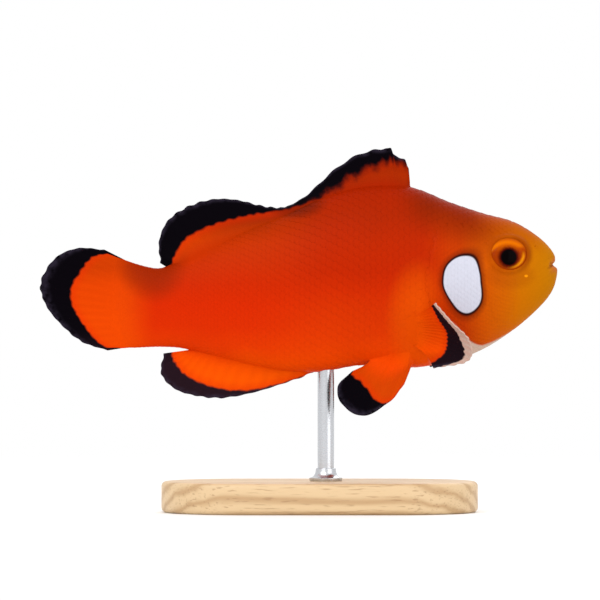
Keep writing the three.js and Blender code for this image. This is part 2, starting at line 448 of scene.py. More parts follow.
class Shader:
    """The nodes of one material."""

    def __init__(self, name: str) -> None:
        """Makes an empty material of that name."""
        self.material = bpy.data.materials.new(name)
        self.material.use_nodes = True
        self.tree = self.material.node_tree
        self.tree.nodes.clear()

    def node(
        self,
        kind: str,
        settings: Mapping[str, object] | None = None,
        sockets: Mapping[str | int, object] | None = None,
    ) -> bpy.types.Node:
        """Adds a node.

        Args:
            kind: The node's type.
            settings: Its own settings, set first. A ramp's stops are pairs of a place and a colour.
            sockets: The value of each of its sockets, or the socket that feeds it.

        Returns:
            The node.
        """
        node = self.tree.nodes.new(kind)
        for name, value in (settings or {}).items():
            if name == "stops":
                self._set_stops(node, value)
            else:
                setattr(node, name, value)
        for name, value in (sockets or {}).items():
            source = getattr(value, "socket", value)
            if isinstance(source, bpy.types.NodeSocket):
                self.tree.links.new(source, node.inputs[name])
            else:
                node.inputs[name].default_value = source
        return node

    @staticmethod
    def _set_stops(node: bpy.types.Node, stops: Sequence[tuple[float, Colour]]) -> None:
        """Gives a colour ramp its stops."""
        elements = node.color_ramp.elements
        while len(elements) < len(stops):
            elements.new(1.0)
        for element, (place, colour) in zip(elements, stops):
            element.position = place
            element.color = colour

    def output(self, node: bpy.types.Node, name: str | int = 0) -> Value:
        """Wraps an output of a node as a number."""
        return Value(self, node.outputs[name])

    def parts(self, vector: bpy.types.NodeSocket) -> tuple[Value, Value, Value]:
        """Splits a vector into its three numbers."""
        split = self.node("ShaderNodeSeparateXYZ", None, {0: vector})
        return self.output(split, 0), self.output(split, 1), self.output(split, 2)

    def place(self, scale: Sequence[float], shift: Sequence[float] = (0, 0, 0)) -> bpy.types.NodeSocket:
        """Reads the place on the piece, scaled and then shifted."""
        coordinates = self.node("ShaderNodeTexCoord")
        sockets = {"Vector": coordinates.outputs["Object"], "Location": shift, "Scale": scale}
        return self.node("ShaderNodeMapping", None, sockets).outputs[0]

    def corner(self, name: str) -> tuple[Value, Value]:
        """Reads the two numbers of one of the piece's own maps."""
        first, second, _ = self.parts(self.node("ShaderNodeUVMap", {"uv_map": name}).outputs[0])
        return first, second

    def noise(self, vector: bpy.types.NodeSocket, scale: float, detail: float = 2.0) -> Value:
        """Adds noise around 0.5 at a scale along a vector."""
        node = self.node("ShaderNodeTexNoise", None, {"Vector": vector, "Scale": scale, "Detail": detail})
        return self.output(node)

    def mix(
        self, share: Value | float, low: object, high: object, blend: str = "MIX"
    ) -> bpy.types.NodeSocket:
        """Mixes two colours, from low where share is 0 to high where it is 1."""
        settings = {"data_type": "RGBA", "blend_type": blend}
        return self.node("ShaderNodeMix", settings, {0: share, 6: low, 7: high}).outputs[2]

    def gradient(self, value: Value, stops: Sequence[tuple[float, Colour]]) -> bpy.types.NodeSocket:
        """Turns a value into a colour by stops that are given in the value's own units."""
        low = stops[0][0]
        span = stops[-1][0] - low
        shares = [((place - low) / span, colour) for place, colour in stops]
        return self.node("ShaderNodeValToRGB", {"stops": shares}, {0: (value - low) / span}).outputs[0]

    def relief(self, height: Value, distance: float, strength: float = 1.0) -> bpy.types.NodeSocket:
        """Turns a height from 0 to 1 into a bumped normal.

        Args:
            height: The height.
            distance: What a height of 1 stands for, in metres.
            strength: How much of the bump shows.

        Returns:
            The normal.
        """
        sockets = {"Strength": strength, "Distance": distance, "Height": height}
        return self.node("ShaderNodeBump", None, sockets).outputs[0]

    def surface(self, sockets: Mapping[str, object]) -> bpy.types.Material:
        """Ends the material in one surface shader.

        Args:
            sockets: The shader's own values and links.

        Returns:
            The material.
        """
        shader = self.node("ShaderNodeBsdfPrincipled", None, sockets)
        self.node("ShaderNodeOutputMaterial", None, {"Surface": shader.outputs[0]})
        return self.material


def distance(across: Value, along: Value) -> Value:
    """Measures how far a place is from where both numbers are 0."""
    return (across * across + along * along) ** 0.5


# --- The form of the body ---


@dataclass(frozen=True)
class BodyForm:
    """The trunk and head as smooth sections from the snout to the root of the tail fin."""

    snout_x: float = 37.6
    tail_x: float = -27.5
    widest_level: float = 0.53
    back_fullness: float = 1.05
    belly_fullness: float = 0.85
    inset: float = 0.03
    crowding: float = 1.5
    snout_flat: float = 0.35
    # How far forward each section lies, its back, its belly and half its width.
    sections: Line = (
        (37.6, 2.5, 2.5, 0.0),
        (36.8, 4.95, -0.85, 1.9),
        (34.5, 7.25, -3.68, 3.4),
        (31.0, 9.3, -6.66, 4.8),
        (27.0, 10.35, -9.25, 5.7),
        (22.0, 12.0, -11.2, 6.3),
        (16.0, 14.25, -12.0, 6.4),
        (9.0, 14.3, -11.65, 6.2),
        (3.0, 12.6, -12.6, 5.8),
        (-2.0, 10.3, -12.55, 5.1),
        (-7.0, 8.4, -11.7, 4.3),
        (-12.0, 6.2, -10.5, 3.5),
        (-17.0, 3.8, -9.2, 2.6),
        (-20.0, 2.5, -9.0, 2.1),
        (-22.0, 2.65, -9.05, 1.6),
        (-25.0, 3.55, -9.2, 0.66),
        (-26.4, 4.15, -9.22, 0.24),
        (-27.5, 4.6, -9.25, 0.045),
    )

    def measures(self, x: Array) -> tuple[Array, Array, Array]:
        """Reads the back, the belly and half the width at each x.

        The line between the sections is smooth in the square root of the distance behind the snout,
        which rounds the snout off.
        """
        table = np.array(self.sections)
        knots = np.sqrt(self.snout_x - table[:, 0])
        values = table[:, 1:]
        slopes = np.empty_like(values)
        slopes[1:-1] = (values[2:] - values[:-2]) / (knots[2:] - knots[:-2])[:, None]
        slopes[0] = 1.5 * (values[1] - values[0]) / (knots[1] - knots[0]) - slopes[1] / 2
        slopes[-1] = 1.5 * (values[-1] - values[-2]) / (knots[-1] - knots[-2]) - slopes[-2] / 2
        place = np.sqrt(np.clip(self.snout_x - np.asarray(x, float), 0, None))
        index = np.clip(np.searchsorted(knots, place) - 1, 0, len(knots) - 2)
        run = (knots[index + 1] - knots[index])[..., None]
        part = (place - knots[index])[..., None] / run
        start, end = values[index], values[index + 1]
        rise = end - start
        leave, arrive = slopes[index] * run, slopes[index + 1] * run
        curve = part * (1 - part) * ((1 - part) * (leave - rise) - part * (arrive - rise))
        found = start + part * rise + curve
        return found[..., 0] - self.inset, found[..., 1] + self.inset, found[..., 2] - self.inset

    def profile(self, angle: Array) -> tuple[Array, Array]:
        """Reads one section of unit height and half width, from the back at angle 0 round to the belly."""
        level, side = np.cos(angle), np.sin(angle)
        fullness = np.where(level > 0, self.back_fullness, self.belly_fullness)
        reach = np.where(level > 0, 1 - self.widest_level, self.widest_level)
        return np.sign(side) * np.abs(side) ** fullness, level * reach

    def surface(self, x: Array, angle: Array) -> Array:
        """Finds points on the body, one row each, on the side where the sine of the angle is positive."""
        back, belly, half = self.measures(x)
        across, up = self.profile(angle)
        middle = belly + self.widest_level * (back - belly)
        return np.stack([x, half * across, middle + up * (back - belly)], axis=-1)

    def stations(self, count: int) -> Array:
        """Spaces sections from the snout to the tail, closest at the snout."""
        along = (np.arange(count + 1) + self.snout_flat) / (count + self.snout_flat)
        return self.snout_x - (self.snout_x - self.tail_x) * along**self.crowding

    def back(self, x: float) -> float:
        """Reads the height of the back at one x."""
        return float(self.measures(np.array([x]))[0][0])

    def belly(self, x: float) -> float:
        """Reads the height of the belly at one x."""
        return float(self.measures(np.array([x]))[1][0])


# --- Fins ---


@dataclass(frozen=True)
class Fin:
    """A fin: a thin blade, ridged along its rays, from a root inside the body to the ray tips."""

    name: str
    root: Line
    tip: Line
    # The rays in each part of the fin, and how far along the fin each part ends.
    rays: tuple[int, ...]
    # How far out along the rays the black begins and ends, at each point of the tip line.
    black_from: tuple[float, ...]
    black_to: tuple[float, ...] = ()
    part_ends: tuple[float, ...] = (1.0,)
    notch: float = 0.14
    bow: tuple[float, float, float] = (0.0, 0.0, 0.0)
    wave: float = 0.1
    waves: float = 2.2
    branch_from: float = 0.42
    branch_spread: float = 0.17
    rows: int = 18
    columns_per_ray: int = 8
    membrane: float = 0.15
    ridge: float = 0.13
    ridge_width: float = 0.19
    ridge_start: tuple[float, float] = (0.8, 3.2)
    # How much thinner the rays are at their tips.
    thinning: float = 0.6
    # How unlike the notches between the rays are, and the turn from ray to ray that makes them so.
    ragged: float = 0.55
    ragged_turn: float = 7.3
    ragged_start: float = 1.7
    flare: float = 4.0
    flare_reach: float = 1.15
    flare_fade: tuple[float, float] = (0.06, 0.06)
    # How much sooner the black begins along the first and last ray, as a share of their length, and
    # how many rays in from the edge that is none and full.
    edged: float = 0.0
    edged_within: tuple[float, float] = (0.55, 0.1)

    def mirrored(self, name: str) -> "Fin":
        """Returns the same fin on the other side."""
        root = tuple((x, -y, z) for x, y, z in self.root)
        tip = tuple((x, -y, z) for x, y, z in self.tip)
        bow = (self.bow[0], -self.bow[1], self.bow[2])
        return replace(self, name=name, root=root, tip=tip, bow=bow)

    def phase(self, across: Array) -> Array:
        """Counts the rays from the front edge, with each ray at a whole number."""
        return np.interp(across, (0.0, *self.part_ends), np.concatenate([[0], np.cumsum(self.rays)]))

    def ridges(self, phase: Array, out: Array, length: Array) -> Array:
        """Raises each ray a little way out of the body, and splits it into two branches further out."""
        beside = np.abs(phase - np.round(phase))
        spread = self.branch_spread * step(out, self.branch_from, 1.0)
        return hump(beside, spread, self.ridge_width) * step(out * length, *self.ridge_start)

    def blade(self, across: Array, out: Array) -> tuple[Array, Array]:
        """Finds points of the blade's middle surface and the length of the ray through each."""
        start = along_line(self.root, across)
        ray = along_line(self.tip, across) - start
        length = np.linalg.norm(ray, axis=1)
        phase = self.phase(across)
        uneven = 1 + self.ragged * np.sin(self.ragged_turn * np.floor(phase) + self.ragged_start)
        valley = np.sin(np.pi * phase) ** 2 * uneven
        reach = out * (1 - self.notch / length * valley * out**2)
        nudge = 1e-3
        tangent = along_line(self.root, across + nudge) - along_line(self.root, across - nudge)
        normal = np.cross(tangent, ray)
        normal /= np.linalg.norm(normal, axis=1)[:, None]
        sway = self.wave * np.sin(2 * np.pi * self.waves * across + 2.5 * out) * out**1.5
        bulge = np.outer(np.sin(np.pi * out), self.bow)
        return start + ray * reach[:, None] + normal * sway[:, None] + bulge, length

    def build(self) -> bpy.types.Object:
        """Builds the fin as a closed solid with its ray and ink maps."""
        columns = self.columns_per_ray * sum(self.rays)
        bpy.ops.mesh.primitive_grid_add(x_subdivisions=columns, y_subdivisions=self.rows, size=1)
        fin = bpy.context.object
        flat = points_of(fin)
        across, out = flat[:, 0] + 0.5, flat[:, 1] + 0.5
        points, length = self.blade(across, out)
        set_points(fin, points)
        phase = self.phase(across)
        from_edge = np.minimum(phase, sum(self.rays) - phase)
        begin = along_line(self.black_from, across)[:, 0] - self.edged * step(from_edge, *self.edged_within)
        ink = (out - begin) * length
        beyond = np.full(len(out), NO_INK)
        if self.black_to:
            beyond = (out - along_line(self.black_to, across)[:, 0]) * length
        map_corners(fin, RAY_MAP, np.stack([phase, out], axis=1))
        map_corners(fin, INK_MAP, np.stack([ink, beyond], axis=1))
        ridges = self.ridges(phase, out, length) * (1 - self.thinning * out)
        thickness = self.membrane + self.ridge * ridges
        ends = window(across, 0, self.flare_fade[0], 1 - self.flare_fade[1], 1)
        thickness += self.flare * ends * np.exp(-out * length / self.flare_reach)
        thickest = float(thickness.max())
        group = fin.vertex_groups.new(name="thickness")
        for index, weight in enumerate(thickness / thickest):
            group.add([index], float(weight), "REPLACE")
        finish_with(fin, "SOLIDIFY", thickness=thickest, offset=0, vertex_group=group.name)
        fin.vertex_groups.clear()
        face_outwards(fin)
        return fin


@dataclass(frozen=True)
class FinSet:
    """All the fins, with their roots sunk a little into the body."""

    form: BodyForm
    sink: float = 1.25

    def on_back(self, *xs: float) -> Line:
        """Places root points under the back."""
        return tuple((x, 0.0, self.form.back(x) - self.sink) for x in xs)

    def on_belly(self, *xs: float) -> Line:
        """Places root points above the belly."""
        return tuple((x, 0.0, self.form.belly(x) + self.sink) for x in xs)

    @staticmethod
    def on_middle(*places: tuple[float, float]) -> Line:
        """Places points of the side view on the middle plane."""
        return tuple((x, 0.0, z) for x, z in places)

    def dorsal(self) -> Fin:
        """Returns the fin on the back: ten spines, a notch, and fifteen soft rays."""
        spiny_root = (16.3, 15.7, 14.9, 14.2, 13.2, 11.4, 8.6, 5.4, 2.2, -0.4)
        soft_root = (-2.0, -4.2, -6.6, -9.2, -11.8, -14.2, -16.3, -18.2)
        spiny_tip = (
            (15.95, 16.9), (15.35, 18.3), (13.85, 18.95), (13.3, 19.95), (12.3, 19.8), (10.3, 19.6),
            (7.1, 18.3), (3.9, 15.8), (1.4, 13.35), (-0.7, 11.9),
        )
        soft_tip = (
            (-2.6, 11.3), (-5.6, 11.65), (-9.0, 12.4), (-12.6, 12.5),
            (-16.2, 11.5), (-19.1, 9.4), (-20.4, 6.3), (-20.2, 3.2),
        )
        spiny_black = (0.96, 0.90, 0.84, 0.75, 0.71, 0.64, 0.55, 0.46, 0.48, 0.76)
        soft_black = (0.86, 0.67, 0.53, 0.49, 0.485, 0.49, 0.42, 0.31)
        return Fin(
            name="dorsal",
            root=self.on_back(*spiny_root, *soft_root),
            tip=self.on_middle(*spiny_tip, *soft_tip),
            rays=(10, 15),
            part_ends=(0.56, 1.0),
            black_from=spiny_black + soft_black,
            notch=0.16,
            ridge=0.2,
            rows=16,
        )

    def anal(self) -> Fin:
        """Returns the fin behind the vent."""
        rear = self.on_middle((-14.6, -8.9), (-15.4, -9.35))
        return Fin(
            name="anal",
            root=self.on_belly(2.2, -1.4, -5.0, -8.4, -11.2, -13.2) + rear,
            tip=self.on_middle(
                (2.3, -12.75), (-2.0, -14.25), (-6.6, -15.65), (-11.2, -16.5),
                (-15.0, -16.15), (-18.1, -15.1), (-20.1, -12.9), (-19.7, -9.95),
            ),
            rays=(14,),
            black_from=(0.97, 0.94, 0.90, 0.80, 0.73, 0.67, 0.62, 0.72),
            notch=0.12,
            flare_fade=(0.06, 0.4),
            rows=16,
        )

    def caudal(self) -> Fin:
        """Returns the tail fin."""
        return Fin(
            name="caudal",
            root=self.on_middle(
                (-24.4, 3.2), (-23.6, 1.2), (-23.2, -0.6), (-23.0, -2.2),
                (-23.0, -3.8), (-23.2, -5.4), (-23.6, -7.1), (-24.4, -9.0),
            ),
            tip=self.on_middle(
                (-28.3, 5.15), (-32.2, 5.38), (-35.55, 3.85), (-37.65, 0.4),
                (-36.92, -2.78), (-34.7, -5.67), (-31.64, -8.27), (-27.8, -9.5),
            ),
            rays=(15,),
            black_from=(0.72, 0.71, 0.67, 0.69, 0.71, 0.715, 0.75, 0.84),
            wave=0.16,
            waves=1.6,
            branch_from=0.3,
            ridge=0.1,
            ridge_start=(3.2, 6.5),
            flare=0.25,
            edged=0.38,
            rows=28,
            columns_per_ray=10,
        )

    def pelvic(self) -> Fin:
        """Returns the left fin under the belly: a spine and five soft rays."""
        return Fin(
            name="pelvic_left",
            root=(
                (16.7, 2.3, -10.6), (15.5, 2.2, -10.7), (14.3, 2.0, -10.7),
                (13.1, 1.9, -10.7), (12.1, 1.8, -10.8), (11.2, 1.7, -11.1),
            ),
            tip=(
                (15.2, 4.4, -14.3), (13.1, 5.4, -16.8), (9.3, 6.1, -18.85),
                (6.3, 5.9, -17.3), (5.6, 4.8, -14.8), (7.7, 3.2, -12.6),
            ),
            rays=(6,),
            black_from=(1.1, 1.02, 0.70, 0.56, 0.64, 0.95),
            notch=0.12,
            waves=1.0,
            rows=20,
            columns_per_ray=12,
            membrane=0.2,
            ridge=0.24,
        )

    def pectoral(self) -> Fin:
        """Returns the left fin behind the gill cover, swung out and forward."""
        return Fin(
            name="pectoral_left",
            root=(
                (17.0, 4.6, -4.5), (16.9, 4.5, -5.4), (16.7, 4.3, -6.4),
                (16.5, 3.9, -7.5), (16.2, 3.4, -8.6),
            ),
            tip=(
                (19.6, 12.0, -2.6), (21.7, 14.1, -5.3), (24.4, 13.5, -8.0),
                (24.3, 11.2, -10.95), (19.3, 8.5, -12.0),
            ),
            rays=(15,),
            black_from=(0.66, 0.58, 0.53, 0.55, 0.85),
            black_to=(0.86, 0.86, 0.79, 0.91, 1.05),
            notch=0.17,
            bow=(0.5, 0.5, 0.3),
            waves=1.2,
            branch_from=0.35,
            flare=1.6,
            flare_fade=(0.2, 0.2),
            rows=22,
        )

    def all(self) -> list[Fin]:
        """Returns every fin."""
        pelvic, pectoral = self.pelvic(), self.pectoral()
        return [
            self.dorsal(),
            self.anal(),
            self.caudal(),
            pelvic,
            pelvic.mirrored("pelvic_right"),
            pectoral,
            pectoral.mirrored("pectoral_right"),
        ]


# --- Eyes ---


@dataclass(frozen=True)
class EyeForm:
    """One eyeball: a flattened ball, a little longer than high, set square to the cheek around it."""

    x: float = 30.3
    z: float = 4.43
    radius: float = 2.64
    wide: float = 1.08
    tall: float = 0.94
    thickness: float = 1.0
    forward: float = 0.27
    upward: float = 0.24
    outward: float = 0.5
    socket_gap: float = 0.03
    steps: int = 64

    def centre(self, side: Side) -> Vector:
        """Returns the ball's centre, a little further out than the node's own."""
        low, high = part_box(f"eye_{side.name.lower()}")
        node_y = (low.y + high.y) / 2 / MM
        return Vector((self.x, node_y + side.value * self.outward, self.z))

    def away(self, x: Array, z: Array) -> Array:
        """Measures how far places of the side view are from the eye, along its long axis."""
        return np.hypot((x - self.x) / self.wide, (z - self.z) / self.tall)

    def axis(self, side: Side) -> Vector:
        """Returns the direction that the eye looks in."""
        level = math.cos(self.upward)
        ahead, beside = math.sin(self.forward) * level, math.cos(self.forward) * level
        return Vector((ahead, side.value * beside, math.sin(self.upward)))

    def ball(self, side: Side, grow: float = 0.0) -> bpy.types.Object:
        """Builds a ball, or with grow a wider one that cuts its socket.

        Args:
            side: The side of the head.
            grow: How much larger it is all round.

        Returns:
            The closed ball, with its pole toward the side.
        """
        centre, axis = self.centre(side), self.axis(side)
        turn = axis.to_track_quat("Z", "Y").to_euler()
        bpy.ops.mesh.primitive_uv_sphere_add(
            segments=self.steps, ring_count=self.steps // 2, radius=1, location=centre, rotation=turn
        )
        ball = bpy.context.object
        width = self.radius + grow
        ball.scale = (width * self.wide, width * self.tall, self.thickness + grow)
        apply_place(ball)
        return ball


@dataclass(frozen=True)
class EyeFinish:
    """A black pupil in a dark red ring, an orange iris that is brightest above, and a clear gloss."""

    form: EyeForm
    pupil_ahead: float = 0.0
    pupil_drop: float = 0.42
    pupil_radius: float = 1.14
    # The bright band over the pupil lies on a circle: its middle from the ball's own, and its radius.
    arc_ahead: float = -0.15
    arc_drop: float = 1.5
    arc_radius: float = 3.25
    black: Colour = paint(6, 2, 3, 0.75)
    inner: Colour = paint(74, 6, 1, 0.75)
    iris: Colour = paint(164, 56, 1, 0.75)
    upper: Colour = paint(196, 84, 1, 0.75)
    bright: Colour = paint(228, 112, 1, 0.75)
    gold: Colour = paint(236, 140, 8, 0.75)

    def material(self, anchor: Anchor) -> bpy.types.Material:
        """Makes the finish, the same for both eyes, because it reads only the side view."""
        shader = Shader("eye_glaze")
        place = anchor.place(shader)
        x, _, z = shader.parts(place)
        ahead, up = x - self.form.x, z - self.form.z
        fibres = shader.noise(place, 3.2, 4.0)
        wander = (fibres - 0.5) * 0.25
        from_middle = distance(ahead / self.form.wide, up / self.form.tall).most(0.05)
        from_pupil = distance(ahead - self.pupil_ahead, up + self.pupil_drop)
        from_arc = distance(ahead - self.arc_ahead, up + self.arc_drop)
        colour = shader.mix((up + wander * 2).step(0.2, 1.3), self.iris, self.upper)
        arc = (from_arc + wander * 0.5).hump(self.arc_radius, 0.52) * (up - ahead * 0.2).step(0.45, 1.0)
        low_ahead = (ahead * 0.72 - up * 0.7) / from_middle
        crescent = (from_middle + wander * 0.4).hump(2.02, 0.36) * low_ahead.step(0.5, 0.95)
        colour = shader.mix(crescent, colour, self.gold)
        colour = shader.mix((from_pupil + wander).step(1.85, self.pupil_radius + 0.02), colour, self.inner)
        colour = shader.mix((arc * (0.8 + fibres * 0.4)).least(1.0), colour, self.bright)
        pupil = (from_pupil + wander * 0.3).step(self.pupil_radius + 0.12, self.pupil_radius - 0.1)
        colour = shader.mix(pupil, colour, self.black)
        return shader.surface(
            {
                "Base Color": colour,
                "Roughness": 0.35,
                "Specular IOR Level": 0.006,
                "Coat Weight": 0.02,
                "Coat Roughness": 0.03,
            }
        )


@dataclass(frozen=True)
class Eyes:
    """The two eyeballs."""

    form: EyeForm
    dome: float = 0.1
    dome_reach: float = 1.5

    def build(self, side: Side) -> bpy.types.Object:
        """Builds one eye with its clear front domed over the pupil."""
        ball = self.form.ball(side)
        centre = np.array(self.form.centre(side))
        axis = np.array(self.form.axis(side))
        points = points_of(ball)
        offset = points - centre
        depth = offset @ axis
        beside = np.linalg.norm(offset - np.outer(depth, axis), axis=1)
        rise = self.dome * step(beside, self.dome_reach, 0) * (depth > 0)
        set_points(ball, points + np.outer(rise, axis))
        face_outwards(ball)
        select_only(ball)
        bpy.ops.object.shade_smooth()
        return ball

    def dress(self, anchor: Anchor) -> None:
        """Builds and dresses both eyes."""
        material = EyeFinish(self.form).material(anchor)
        for side in Side:
            ball = self.build(side)
            anchor.settle(ball)
            name = side.name.lower()
            present(ball, f"eyeball_{name}", material, [f"eye_{name}"])


# --- The skin ---


@dataclass(frozen=True)
class Face:
    """The folds of the head, drawn on the side view."""

    eye: EyeForm
    mouth: Line = ((38.4, 2.98), (37.3, 2.95), (36.6, 2.65), (35.8, 2.1))
    gill_line: Line = (
        (20.4, 8.6), (19.5, 6.2), (18.8, 3.2), (18.6, 0.2), (19.1, -3.2),
        (20.9, -6.0), (24.0, -7.9), (27.2, -8.5), (29.6, -8.1),
    )
    cheek_line: Line = ((26.6, 7.6), (27.7, 4.6), (27.8, 1.5), (27.5, -2.0), (28.2, -4.8), (30.4, -5.6))
    # The line from the gill cover's top to the eye, under which the cheek's own small scales begin.
    temple: Line = ((18.0, 9.3), (20.4, 8.7), (24.0, 8.3), (28.6, 7.4), (33.0, 6.4))
    line_steps: int = 40
    lip_level: float = 2.95
    nostril: tuple[float, float] = (34.3, 5.6)
    # A small bump below and ahead of the eye, which also carries a painted glint.
    pore_and_glint: tuple[float, float] = (32.85, 1.3)
    pectoral_base: tuple[float, float] = (17.2, -6.6)
    # Folds, each a hump by its height, its distance from its own line or place, and its width.
    lid_folds: Line = ((0.17, 2.68, 0.26), (-0.07, 3.35, 0.35))
    brow_folds: Line = ((0.12, 3.0, 0.6),)
    lip_folds: Line = ((0.07, 0.5, 0.25), (-0.05, 1.1, 0.25), (-0.1, 0, 0.15))
    gill_folds: Line = ((-0.1, -0.2, 0.2),)
    cheek_folds: Line = ((-0.05, -0.1, 0.2),)
    nostril_folds: Line = ((0.05, 0.26, 0.1), (-0.12, 0, 0.14))
    pore_folds: Line = ((0.05, 0, 0.2),)
    shoulder_folds: Line = ((0.22, 0, 1.5),)
    throat_folds: Line = ((-0.14, 0, 0.4),)
    # What the snout's front is pushed back by, over the height from the mouth.
    parting_folds: Line = ((0.62, 0, 0.38), (0.14, 0.6, 0.45))
    # The height of the step at each plate's rear edge, and where it rises and fades ahead of that.
    gill_plate: tuple[float, ...] = (0.17, -0.04, 0.2, 0.6, 4.2)
    cheek_plate: tuple[float, ...] = (0.05, -0.1, 0.2, 0.3, 1.6)
    # The throat's pale part lies under a trough: its lowest place, and how fast it rises ahead and behind.
    throat_x: float = 26.6
    throat_z: float = -8.7
    throat_slope: float = 0.3
    throat_ahead: float = 0.045
    throat_behind: float = 0.2

    def line(self, corners: Line) -> Array:
        """Smooths a line of the side view."""
        return along_line(corners, np.linspace(0, 1, self.line_steps))

    def heights(self, points: Array, normals: Array) -> Array:
        """Works out how far each point of the bare body is moved along its normal.

        Args:
            points: The points of the body.
            normals: The direction that each faces.

        Returns:
            The moves, outwards where positive.
        """
        x, y, z = points.T
        view = points[:, [0, 2]]
        facing = step(np.abs(normals[:, 1]), 0.05, 0.45)

        around_eye = self.eye.away(x, z)
        brow = folds(around_eye, self.brow_folds) * step(z, self.eye.z, self.eye.z + 2.2)
        moves = (folds(around_eye, self.lid_folds) + brow) * facing

        from_mouth, along_mouth = line_distance(view, self.line(self.mouth))
        near_mouth = step(along_mouth, 1.0, 0.7) * window(x, 35.2, 36.2, 36.7, 37.3)
        moves += folds(np.abs(from_mouth), self.lip_folds) * near_mouth

        plates = (
            (self.gill_line, self.gill_plate, self.gill_folds, (0.0, 0.12, 0.86, 1.0)),
            (self.cheek_line, self.cheek_plate, self.cheek_folds, (0.0, 0.15, 0.8, 1.0)),
        )
        for corners, (rise, *edge), groove, ends in plates:
            from_line, along = line_distance(view, self.line(corners))
            plate = rise * window(from_line, *edge) + folds(from_line, groove)
            moves += plate * window(along, *ends) * facing

        moves += folds(np.hypot(x - self.nostril[0], z - self.nostril[1]), self.nostril_folds)
        moves += folds(np.hypot(x - self.pore_and_glint[0], z - self.pore_and_glint[1]), self.pore_folds)
        base = np.hypot(x - self.pectoral_base[0], (z - self.pectoral_base[1]) / 1.5)
        moves += folds(base, self.shoulder_folds) * facing
        under = step(-normals[:, 2], 0.5, 0.9) * window(x, 20.5, 23, 28, 31)
        return moves + folds(y, self.throat_folds) * under

    def parting(self, points: Array) -> Array:
        """Works out how far back each point of the snout's front is pushed, which parts the lips."""
        x, _, z = points.T
        return folds(z - self.lip_level, self.parting_folds) * step(x, 36.1, 37.1)

    def trough(self, ahead: "Array | Value", behind: "Array | Value") -> "Array | Value":
        """Finds how high the throat's pale part reaches, ahead of its lowest place or behind it."""
        rise = ahead * self.throat_slope + ahead * ahead * self.throat_ahead
        return rise + behind * behind * self.throat_behind + self.throat_z

    def fine_region(self, centres: Array) -> Array:
        """Tells which faces of the body carry folds that need smaller faces."""
        x, _, z = centres.T
        from_gill, _ = line_distance(centres[:, [0, 2]], self.line(self.gill_line))
        return (self.eye.away(x, z) < 4) | (x > 33.3) | (np.abs(from_gill) < 0.7)


